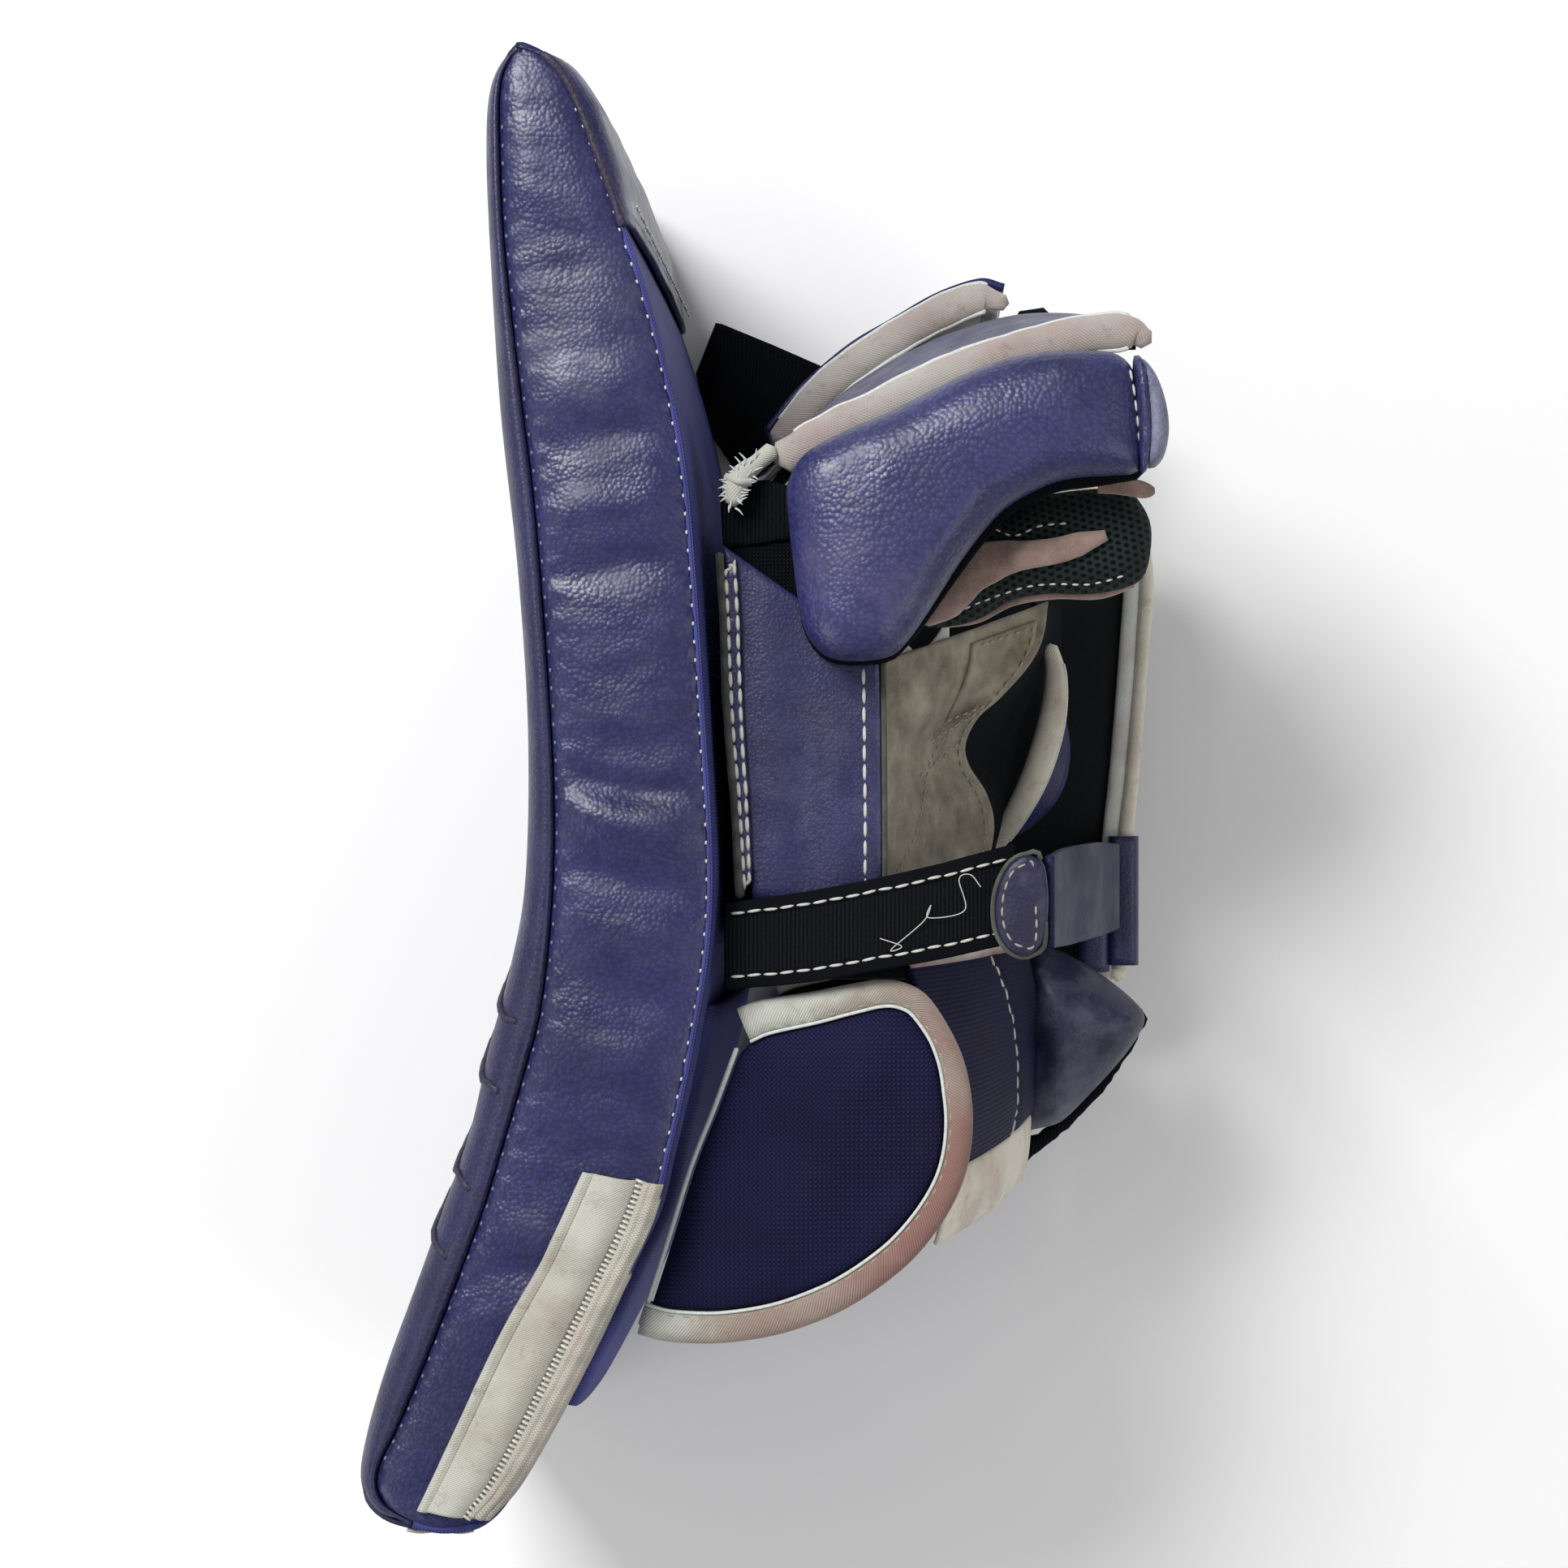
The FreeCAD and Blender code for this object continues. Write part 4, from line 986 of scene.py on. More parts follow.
def make_backhand():
    pad = upright("backhand_padding", 24.6, 33.0, (-44, 72), (62, 172), M["black_cloth"], 1.6, 3.5)
    settle(pad, "board", "black_nylon", "backhand_pad", fill=0.6)
    lining = upright("glove_back_lining", 33.3, 35.0, (-44, 74), (58, 175), M["velour"], 0.3, 0.8)
    settle(lining, "board", "black_nylon", "glove_back")


# ---------------------------------------------------------------- palm
PALM_EDGE = [(95.5, -23, 118), (97.4, -11, 116), (95.2, -2, 118), (90.2, 6, 121), (89.2, 12, 123),
             (92.5, 19, 123),
             (99, 25, 121), (107, 34, 119), (111, 42, 119), (112.5, 52, 119)]


def palm_grid(rows=60, cols=50):
    far = smooth_line(PALM_EDGE, rows)
    near = even(np.array([(66.2, -27, 178.8), (66.4, 10, 179), (67, 33, 178.8)]), rows)
    grid = np.zeros((rows, cols, 3))
    for i in range(rows):
        a = i / (rows - 1)
        for j in range(cols):
            b = j / (cols - 1)
            x, y, z = near[i] + (far[i] - near[i]) * b
            hollow = -7 * math.sin(math.pi * b) * (0.4 + 0.6 * a)
            rays = 2.3 * math.sin(9 * math.atan2(y + 24, x - 62) + 1.5) * b * (1 - 0.3 * b)
            crease = -3.4 * bump_at((a - 0.62) - 0.25 * (b - 0.5), 0, 0.05) * math.sin(math.pi * b)
            curl = 1.2 * b ** 6
            grid[i, j] = (x, y, z + hollow + rays + crease + curl + 0.7 * ripple(x, y, size=9, seed=15))
    return grid


def make_palm():
    grid = palm_grid()
    suede = sheet_grid("palm_suede_sheet", grid, 1.4, M["grey_suede"], flip=True)
    settle(suede, "board", "suede", "palm_suede", cut=grid)
    rows = []
    for k, (a, b0, b1) in enumerate(((0.42, 0.45, 0.98), (0.55, 0.5, 0.99))):
        path = [grid[int((a + 0.12 * (b - b0)) * 59), int(b * 49)] + (0, 0, 0.5)
                for b in np.linspace(b0, b1, 30)]
        rows.append(stitch_row(f"palm_row_{k}", path, M["old_thread"], 1.9, 1.4, 0.55))
    path = [grid[i, 45] + (0, 0, 0.5) for i in range(3, 57)]
    rows.append(stitch_row("palm_row_edge", path, M["old_thread"], 1.8, 1.3, 0.55))
    path = [grid[i, int(49 * (0.12 + 0.75 * (i - 2) / 40))] + (0, 0, 0.5) for i in range(2, 40)]
    rows.append(stitch_row("palm_row_ray", path, M["old_thread"], 1.6, 1.5, 0.5))
    settle(join("palm_stitches", *rows), "board", "suede")
    patch = [[grid[i, j] + (0, 0, 1.3) for j in range(26, 47)] for i in range(37, 57)]
    settle(sheet_grid("palm_patch", patch, 0.9, M["grey_suede"], flip=True), "board", "suede")
    ring = [patch[0][j] for j in range(1, 20)] + [patch[i][19]
                                                  for i in range(1, 19)] + [patch[18][j]
                                                                            for j in range(19, 1, -1)]
    ring = even(np.array(ring), 120) + np.array((0, 0, 0.35))
    settle(stitch_row("palm_patch_stitches", ring, M["old_thread"], 2.1, 1.4, 0.7), "board", "suede")
    far = smooth_line([(100, -26, 62), (109, -6, 60), (116, 20, 60), (119, 45, 62), (118, 58, 66)], 60)
    start = grid[:, -1] - np.array((3, 0, 1.5))
    velour = [[start[i] + (far[i] - start[i]) * b + np.array((0, 0, -6 * math.sin(math.pi * b)))
               + 0.5 * ripple(i, b * 30, size=6, seed=16) for b in np.linspace(0, 1, 26)]
              for i in range(60)]
    settle(sheet_grid("palm_velour", velour, 1.6, M["velour"], flip=True), "board", "palm_velour",
           "palm_base")
    shred = smooth_line([(70, 36, 168), (75, 31, 160), (80, 35, 152), (84, 42, 146)], 16)
    liner = [[p + np.array((0, w, -w * 0.5)) for w in np.linspace(-4, 5, 8)] for p in shred]
    settle(sheet_grid("liner_scrap", liner, 0.8, M["dull_binding"], flip=True), "board", "white_binding")


# ---------------------------------------------------------------- far wall and heel flap
def make_far_wall():
    outline = corner_line([(31, -59), (133, -59), (135, -20), (137.2, 5), (140, 42), (141, 66), (134, 84),
                           (117, 84), (105, 61), (26, 61), (26, -40)], 4.0)

    def ease(x, y, z, depth, top):
        return (x, y, z + 0.9 * ripple(x, y, size=30, seed=17) * min(1, depth / 6))

    wall = pillow("far_wall_cloth", outline, 42.2, 45.0, 1.2, M["wall"], 4.0, ease)
    settle(wall, "board", "black_nylon", "far_wall")
    edge = smooth_line([(132.8, -58, 46.6), (134.5, -20, 46.6), (137, 5, 46.6), (140, 42, 46.6),
                        (141, 66, 46.6),
                        (136, 82, 46.6), (124, 87, 46.6)], 120)
    inner = tube("far_wall_edge_band", edge, 3.0, M["dull_binding"], 14, 0.55)
    settle(inner, "board", "white_binding", "far_wall_binding")
    outer = edge + np.hstack([-left_of(edge) * 3.9, np.zeros((120, 1))]) + np.array((0, 0, 0.6))
    wide = [2.3 + 0.25 * ripple(p[0], p[1], size=14, seed=18) for p in outer]
    settle(tube("far_wall_edge_roll", outer, wide, M["cream"], 14, 1.0), "board", "white_binding")


def make_heel_flap():
    line = smooth_line([(97.5, -19, 79), (104, -9, 80), (110.5, 4, 81), (115, 19, 81), (116.3, 32, 80),
                        (114.8, 41, 79)], 70)
    s = np.linspace(0, 1, 70)
    wide = 1.2 + 2.9 * np.sin(math.pi * np.clip(s * 0.92 + 0.04, 0, 1)) ** 0.6
    settle(tube("heel_flap_roll", line, wide, M["cream"], 16, 0.75), "board", "white_binding",
           "heel_flap_binding")
    lip = line[6:-6] + np.hstack([-left_of(line[6:-6]) * (wide[6:-6] - 0.3)[:, None],
                                  np.full((58, 1), 0.6)])
    settle(tube("heel_flap_lip", lip, 0.55, M["lip"], 8), "board", "white_binding")
    rows = [[line[i] + np.array((0, 0, -2))
             + np.array((1.0, -0.55, -0.5)) * w * (1.1 * math.sin(math.pi * (i - 4) / 50) ** 0.7)
             for w in np.linspace(0, 7.5, 8)] for i in range(5, 54)]
    settle(sheet_grid("heel_flap_cloth", rows, 1.2, M["shell"], flip=True), "board", "flap_nylon",
           "heel_flap", cut=rows)


# ---------------------------------------------------------------- thumb
THUMB_RIM = [(41.8, 78), (46, 86), (56, 91.8), (69, 97.4), (80, 103), (90.3, 108), (100, 111.2),
             (110, 112.8),
             (121, 113), (127, 112), (131, 108), (132.6, 100), (133.4, 90), (133.2, 82.2), (127, 80.4),
             (119.7, 79.2),
             (112, 77.6), (105, 74.6), (99, 70.8), (94.2, 66), (88, 58), (82, 49.5), (77, 42.5),
             (72.4, 36.8),
             (68, 33.4), (60, 32.4), (53, 33.2), (48.6, 36.4), (45.6, 42), (44.2, 50), (43, 60), (42, 70)]


THUMB_Z = (184.7, 200.8)
THUMB_ROUND = 8.2


def make_thumb():
    rim = closed_line(THUMB_RIM, 2.0)

    def mould(x, y, z, depth, top):
        slope = -2.2 * max(0, (60 - x) / 20) ** 1.5 - 1.3 * max(0, (x - 112) / 20)
        wave = 0.5 * ripple(x, y, size=22, seed=21) + (0.5 * bump_at(x + y * 0.3, 92, 4)
                                                       - 0.5 * bump_at(x + y * 0.3, 84, 4)) * 0.3
        return (x, y, z + (slope + wave) * (1 if top else 0) * min(1, depth / 5))

    guard = pillow("thumb_guard_pad", rim, *THUMB_Z, THUMB_ROUND, M["guard"], 2.0, mould, crown=1.6)
    inflate(guard, 1.2, 3.0)
    settle(guard, "thumb", "smooth_leather", "thumb_guard", fill=0.9)
    under = [(x + 0.9, y - 1.2) if y > 78 and x > 60 else (x + 0.2, y - 0.7) for x, y in THUMB_RIM]
    base = pillow("thumb_guard_lining", closed_line(under, 2.5), 182.4, 184.4, 1.0, M["black_cloth"], 3.0)
    settle(base, "thumb", "foam", "thumb_guard_base")
    cap = closed_line([(132.6, 110.4), (136.6, 107), (139.4, 100), (140.4, 92), (139, 85), (136, 82),
                       (133.9, 84),
                       (134.1, 92), (133.4, 100)], 1.6)
    # The tip cap is coloured pale blue-grey as a painted reflection of bright surroundings.
    settle(pillow("thumb_tip_cap", cap, 184.8, 199, 4.6, M["cap_painted_reflection"], 1.5), "thumb", "smooth_leather",
           "thumb_guard_cap", fill=0.8)
    skirt = closed_line([(131, 109.5), (134.6, 108.5), (136.2, 100), (136.4, 90), (135.4, 83.2),
                         (132.6, 82.4)], 1.6)
    settle(pillow("thumb_tip_band", skirt, 184.9, 200.2, 5.0, M["guard"], 1.6), "thumb", "smooth_leather")
    seam = smooth_line([(130.6, 107, 215), (132, 99, 215), (133.0, 90, 215), (133.4, 83.4, 215)], 40)
    row = stitch_row("thumb_tip_stitches", surface_under(guard, seam + np.array((-0.6, 0, 0)), 0.3),
                     M["thread"], 2.9, 1.1, 0.75)
    settle(row, "thumb", "smooth_leather")
    make_thumb_sleeve()


def make_thumb_sleeve():
    rim = closed_line([(76, 44), (84, 42.6), (92, 44.6), (101, 49.8), (110, 51.4), (120, 51.2), (130, 52.6),
                       (135.8, 56),
                       (137.8, 64), (137.4, 71), (134, 77), (131, 79.4), (120, 79.2), (106, 77), (97, 73),
                       (88, 66), (80, 55)], 2.0)

    def sag(x, y, z, depth, top):
        return (x, y, z + (0.8 * ripple(x, y, size=16, seed=23) * min(1, depth / 4)
                           - 2.0 * bump_at(x, 97, 4) * min(1, depth / 6)))

    sleeve = pillow("thumb_mesh_sleeve", rim, 153, 177, 9.0, M["mesh"], 2.0, sag)
    settle(sleeve, "thumb", "finger_knit", "thumb_sleeve", fill=0.35)
    spine = [(76, 47), (83, 50.6), (89, 56.5), (96, 59.6), (104, 61), (112, 62), (119, 64), (125, 66)]
    reach = [4.2, 5.6, 5.6, 5.0, 3.2, 3.0, 2.6, 0.5]
    line = smooth_line(spine, 60)
    wide = np.interp(np.linspace(0, 7, 60), range(8), reach)
    side = left_of(line)
    grid = []
    for i in range(60):
        row = []
        for w in np.linspace(-1, 1, 14):
            p = line[i] + side[i] * wide[i] * w
            hit = surface_under(sleeve, [(p[0], p[1], 200)], 0.0)[0]
            z = hit[2] if hit[2] < 190 else 174
            fold = 1.3 * bump_at(i, 33, 3) * (1 - abs(w)) + 0.9 * ripple(p[0], p[1], size=6, seed=24)
            row.append((p[0], p[1], max(z, 170) + 0.9 + 0.9 * (1 - w * w) + fold))
        grid.append(row)
    settle(sheet_grid("thumb_suede_insert", grid, 1.0, M["pink_suede"], flip=True), "thumb", "suede",
           "thumb_suede")
    tan_part = [[(x, y, z + 0.35) for x, y, z in row] for row in grid[:33]]
    settle(sheet_grid("thumb_suede_root", tan_part, 0.6, M["suede"], flip=True), "thumb", "suede")
    rows = []
    top_row = lift_to(smooth_line([(88.5, 64.5), (94, 68.4), (101, 66.2), (108, 68.6), (116, 69.4)], 60),
                      200)
    low_row = lift_to(smooth_line([(88, 47), (97, 50.6), (104, 52.8), (112, 53.6), (122, 53.6), (131, 56)],
                                  60), 200)
    for name, path in (("thumb_row_top", top_row), ("thumb_row_low", low_row)):
        rows.append(stitch_row(name, surface_under(sleeve, path, 0.2), M["thread"], 1.7, 1.2, 0.6))
    settle(join("thumb_sleeve_stitches", *rows), "thumb", "finger_knit")
    hem = smooth_line([(84, 43.4, 166), (92, 44.8, 165), (101, 49.2, 165), (112, 51, 165), (124, 51, 165),
                       (133, 54, 165)], 50)
    settle(tube("thumb_sleeve_hem", hem, 1.0, M["pink_suede"], 8), "thumb", "suede")
    tab = [[(x, y + w * 3.3 * math.sqrt(max(0.02, 1 - max(0, (x - 133) / 4.6) ** 2)),
             179.2 + 1.2 * math.sin((x - 122) / 5))
            for w in np.linspace(-0.9, 0.5, 8)] for x,
           y in smooth_line([(123, 79.8), (128, 79.4), (133, 78.6), (137.4, 77.6)], 24)]
    settle(sheet_grid("thumb_loop_tab", tab, 1.1, M["pink_suede"], flip=True), "thumb", "suede",
           "thumb_pull_tab")


# ---------------------------------------------------------------- finger guards
INDEX_NEAR = [(29, 82), (38, 91), (50, 97.6), (62, 103), (80, 111.6), (95, 117), (108, 120.6), (121, 123.6),
              (133, 124)]
INDEX_FAR = [(31, 89.6), (41.4, 100), (57.4, 113.2), (81, 126), (102.6, 132.4), (117.6, 133),
             (129.6, 129.4)]
FINGERS_LINE = [(31, 104), (44, 119), (60, 131), (79, 142), (93, 147), (101, 145.4)]


INDEX_GUARD_Z = (176.5, 129)      # the near and far edges of the guard
FINGER_GUARD_Z = (98.5, 14.5)


def guard_layer(name, near, near_z, far, far_z, depth, thickness, material, crown=2.0, cut=0.0):
    """A curved sheet between a guard's near line and its far one, depth below the outside."""
    rows, cols = 70, 26
    a, b = smooth_line(near, rows), smooth_line(far, rows)
    a = a - left_of(a) * depth
    b = b - left_of(b) * depth
    grid = np.zeros((rows, cols, 3))
    for i in range(rows):
        out = left_of(a)[i]
        for j in range(cols):
            w = j / (cols - 1)
            x, y = a[i] + (b[i] - a[i]) * w
            bulge = crown * math.sin(math.pi * w) ** 0.7 + 0.5 * ripple(x, y, w * 20, size=18, seed=31)
            grid[i, j] = (x + out[0] * bulge, y + out[1] * bulge,
                          near_z - cut + (far_z - near_z + 2 * cut) * w)
    return sheet_grid(name, grid, thickness, material)


def guard_binding(name, line, z, width, height, material, body, taper=0.55, inset=0.0):
    """The rolled binding along a guard's near edge, with a bright cord on each side of it."""
    path = smooth_line(line, 110)
    centre = path - left_of(path) * (width / 2 - 0.4 + inset)
    s = np.linspace(0, 1, 110)
    wide = (width / 2) * (taper + (1 - taper) * np.sin(math.pi * np.clip(s * 0.72 + 0.1, 0, 1)) ** 0.7)
    wide = wide * np.interp(s, [0, 0.9, 1], [1, 1, 0.55])
    wide = wide * (1 + 0.07 * np.array([ripple(p[0], p[1], size=7, seed=32) for p in path]))
    spine = np.hstack([centre, (z + 0.5 * np.sin(s * 11))[:, None]])
    roll = tube(name, spine, wide, material, 18, height / width)
    for vertex in roll.data.vertices:
        x, y, _ = vertex.co / MM
        wrinkle = 0.22 * math.sin((x * 0.8 - y * 1.9) * 0.9
                                  + 3 * ripple(x, y, size=9)) * ripple(x, y, size=11, seed=33)
        vertex.co.z += wrinkle * MM
    settle(roll, body, "white_binding", f"{body_guard(body)}_binding")
    for side, label in ((1, "outer"), (-1, "inner")):
        lip = centre + left_of(path) * (wide * 0.97)[:, None] * side
        lip = np.hstack([lip, np.full((110, 1), z - 0.4 if side > 0 else z + 0.6)])[6:-8]
        girth = 0.75 if side > 0 else 0.65
        settle(tube(f"{name}_{label}_cord", lip, girth, M["lip"], 8), body, "white_binding")
    return roll


def body_guard(body):
    return {"index_finger": "index_guard", "fingers": "finger_guard"}[body]


def make_index_guard():
    z_near, z_far = INDEX_GUARD_Z
    shell = guard_layer("index_guard_cover", INDEX_NEAR, z_near, INDEX_FAR, z_far, 1.2, 2.2, M["shell"],
                        0.5)
    settle(shell, "index_finger", "smooth_leather", "index_guard_shell", fill=0.7)
    insert = guard_layer("index_guard_plate", INDEX_NEAR, z_near, INDEX_FAR, z_far, 4.4, 1.4, M["plastic"],
                         0.0, 4)
    settle(insert, "index_finger", "plastic_sheet", "index_guard_insert")
    foam = guard_layer("index_guard_padding", INDEX_NEAR, z_near, INDEX_FAR, z_far, 6.4, 2.6,
                       M["black_cloth"], 0.0, 2)
    settle(foam, "index_finger", "foam", "index_guard_foam", fill=0.6)
    line = INDEX_NEAR[1:] + [(138.2, 121.4)]
    guard_binding("index_binding_roll", line, 178.2, 10.6, 6.4, M["grey_binding"], "index_finger", 0.74)
    make_binding_tail()
    finger_sleeve("index_finger_cloth", [(46, 78), (66, 89.5), (86, 98.5), (106, 103.5), (122, 105)], 7.6,
                  152, 11.5,
                  "index_finger", "index_sleeve")


def make_binding_tail():
    """The loose, frayed end of the index guard's binding, rolled over at its root."""
    path = smooth_line([(37.5, 88.4, 180), (33.5, 85, 181), (30, 82, 182), (27.8, 78.5, 183.2),
                        (27.6, 74.6, 183.4)], 36)
    wide = np.interp(np.linspace(0, 1, 36), [0, 0.3, 0.55, 0.8, 1], [2.4, 2.3, 3.0, 3.1, 2.3])
    parts = [tube("tail_roll", path, wide, M["white"], 16, 0.8)]
    parts.append(tube("tail_collar", smooth_line([(25.6, 81.2, 183.4), (29, 79.8, 185.6),
                                                  (32, 79.6, 183.6)], 14), 1.0, M["white"], 8))
    for k in range(46):
        angle = k * 2.399
        root = path[-1 - (k * 7) % 22] + np.array((math.cos(angle), math.sin(angle), 0.5)) * 1.8
        reach = 1.9 + 2.2 * abs(ripple(k * 3.7, 1.0, size=2))
        tip = root + np.array((math.cos(angle + 0.5), math.sin(angle + 0.5), 0.35)) * reach
        mid = (root + tip) / 2 + np.array((0.3 * math.sin(k), 0.3 * math.cos(k * 2), 0.4))
        parts.append(tube(f"fray_{k}", smooth_line([root, mid, tip], 5), [0.34, 0.3, 0.26, 0.2, 0.1],
                          M["lip"], 5))
    settle(join("index_binding_tail", *parts), "index_finger", "white_binding")


FINGER_LINE = [(43, 90), (57, 104), (73, 116), (91, 125), (107, 128)]
FINGER_REACH = (7.4, 9.6)         # half a sleeve's width in XY, and in Z
FINGER_PITCH = 25
LITTLE_FINGER_Z = 32


def finger_sleeve(name, line, reach, z, half, body, node):
    """A finger of black knit, open at its root: a bent tube that narrows shut at its tip."""
    path = smooth_line(line, 44)
    sides = 22
    rings = []
    for i in range(44):
        s = i / 43
        grow = math.sqrt(max(0.0001, 1 - max(0, (s - 0.86) / 0.14) ** 2)) * (0.9 + 0.1 * math.sin(s * 14))
        out = left_of(path)[i]
        rings.append([(path[i][0] + out[0] * reach * grow * math.cos(2 * math.pi * k / sides),
                       path[i][1] + out[1] * reach * grow * math.cos(2 * math.pi * k / sides),
                       z + half * grow * math.sin(2 * math.pi * k / sides)) for k in range(sides + 1)])
    piece = sheet_grid(name, rings, 1.3, M["mesh"])
    settle(piece, body, "finger_knit", node)
    return piece


def make_finger_guard():
    near_z, far_z = FINGER_GUARD_Z
    cover = guard_layer("finger_guard_cover", FINGERS_LINE, near_z, FINGERS_LINE, far_z, 0.6, 2.2,
                        M["shell"], 0.6)
    settle(cover, "fingers", "smooth_leather", "finger_guard_shell", fill=0.7)
    plate = guard_layer("finger_guard_plate", FINGERS_LINE, near_z, FINGERS_LINE, far_z, 4.2, 1.4,
                        M["plastic"], 0.0, 4)
    settle(plate, "fingers", "plastic_sheet", "finger_guard_insert")
    foam = guard_layer("finger_guard_padding", FINGERS_LINE, near_z, FINGERS_LINE, far_z, 6.2, 2.6,
                       M["dull_binding"], 0.0, 1)
    settle(foam, "fingers", "foam", "finger_guard_foam", fill=0.6)
    line = FINGERS_LINE[:-1] + [(102, 145.6)]
    guard_binding("finger_binding_roll", line, 101.5, 9.6, 5.6, M["grey_binding"], "fingers", 0.62, 2.4)
    for place, name in enumerate(("little", "ring", "middle")):
        reach, half = FINGER_REACH
        finger_sleeve(f"{name}_finger_cloth", FINGER_LINE, reach, LITTLE_FINGER_Z + FINGER_PITCH * place,
                      half,
                      "fingers", f"{name}_finger_sleeve")
    tab = corner_line([(101, 130), (105, 137), (112, 138), (117, 133), (112, 127)], 2.0)
    settle(pillow("fingertip_hook_tab", tab, 96, 99.5, 1.4, M["loop"], 1.5), "fingers", "hook_loop")


# ---------------------------------------------------------------- cuff
WING = [(28.4, -58), (33, -56.2), (39, -55), (48, -53.6), (57, -51.8), (66, -50.4), (73, -51.4),
        (79, -55.4), (85.6, -66),
        (89, -76), (90.2, -88), (88.6, -100), (84, -111), (76, -122), (67, -130), (56.6, -136.8),
        (46, -141.4),
        (37, -144), (27, -145.6), (18.6, -146), (9, -145.4), (2.2, -143.6)]
WING_BACK = [(2.2, -141), (9, -120), (15.6, -99), (21.6, -84), (27.4, -68.6)]


def wing_inner_edge():
    rim = smooth_line(WING, 90)
    s = np.linspace(0, 1, 90)
    reach = np.interp(s, [0, 0.08, 0.2, 0.3, 0.38, 0.5, 0.6, 0.75, 0.9, 1],
                      [9.6, 8.6, 7.0, 6.2, 7.4, 7.4, 8.0, 8.6, 8.6, 8.8])
    return rim, rim - left_of(rim) * reach[:, None]


WING_TURN = 186.5                 # a height and its place in the far wing add up to this
WING_COVER = (179.6, 184.4)
WING_LINING = (177.8, 179.4)
WING_ROLL_Z = 181.2
WING_ROLL_RISE = 3.9


def make_wing(side, mirror):
    """A cuff wing: padded nylon inside a wide, soft binding. mirror turns it over for the far side."""
    rim, inner = wing_inner_edge()

    body = f"{side}_wing"
    outline = np.vstack([inner, smooth_line(WING_BACK, 40)[1:-1] + np.array((2.2, 0))])
    outline = even(np.vstack([outline, outline[:1]]), 150)[:-1]

    def swell(x, y, z, depth, top):
        ridge = 1.4 * bump_at(x - 0.42 * (y + 100), 47, 9) - 0.8 * bump_at(x - 0.42 * (y + 100), 66, 8)
        dent = 0.9 * ripple(x, y, size=26, seed=41) + 0.25 * ripple(x, y, size=8, seed=42)
        up = z + ((ridge + dent) * min(1, depth / 8) if top else 0)
        return (x, y, mirrored(up))

    def mirrored(z):
        return WING_TURN - z if mirror else z

    cover = pillow(f"{side}_wing_cloth", outline, *WING_COVER, 4.2, M["ballistic"], 2.4, swell, crown=2.2)
    settle(cover, body, "navy_nylon", f"{side}_wing_cover", f"{side}_wing_foam", fill=0.6)
    lining = pillow(f"{side}_wing_lining_cloth", outline, *WING_LINING, 0.8, M["black_cloth"], 4.0,
                    lambda x, y, z, depth, top: (x, y, mirrored(z)))
    settle(lining, body, "black_nylon", f"{side}_wing_lining")
    strip = []
    for i in range(90):
        a, b = rim[i], inner[i]
        row = []
        for k in range(22):
            t = k / 21
            turn = math.pi * t
            edge = a + (b - a) * (0.5 - 0.5 * math.cos(turn))
            pucker = 0.45 * ripple(edge[0], edge[1], size=5, seed=43) * (1.6 if 0.1 < i / 90 < 0.42
                                                                         else 0.6)
            rise = WING_ROLL_RISE * math.sin(turn) ** 0.7 + pucker * math.sin(turn)
            row.append((edge[0], edge[1], mirrored(WING_ROLL_Z + rise)))
        strip.append(row)
    roll = sheet_grid(f"{side}_wing_roll", strip, 0.8, M["rim"], flip=not mirror)
    settle(roll, body, "white_binding", f"{side}_wing_binding")
    below = [[(x, y, mirrored(WING_ROLL_Z - (mirrored(z) - WING_ROLL_Z) * 0.7)) for x, y, z in row]
             for row in strip]
    settle(sheet_grid(f"{side}_wing_roll_under", below, 0.8, M["white"], flip=mirror), body,
           "white_binding")
    lip = inner + left_of(rim) * 0.3
    lip = [(p[0], p[1], mirrored(184.1)) for p in lip]
    settle(tube(f"{side}_wing_cord", lip, 0.45, M["lip"], 8), body, "white_binding")
    if not mirror:
        row = lift_to(inner + left_of(rim) * 1.5, 200)[3:-2]
        settle(stitch_row("near_wing_stitches", surface_under(roll, row, 0.0), M["old_thread"], 2.2, 1.8,
                          0.5),
               body, "white_binding")
        root = [(p[0] + 0.9, p[1], 182.6) for p in smooth_line(WING_BACK, 50)]
        settle(tube("near_wing_root_cord", root, 0.7, M["lip"], 8), body, "white_binding")


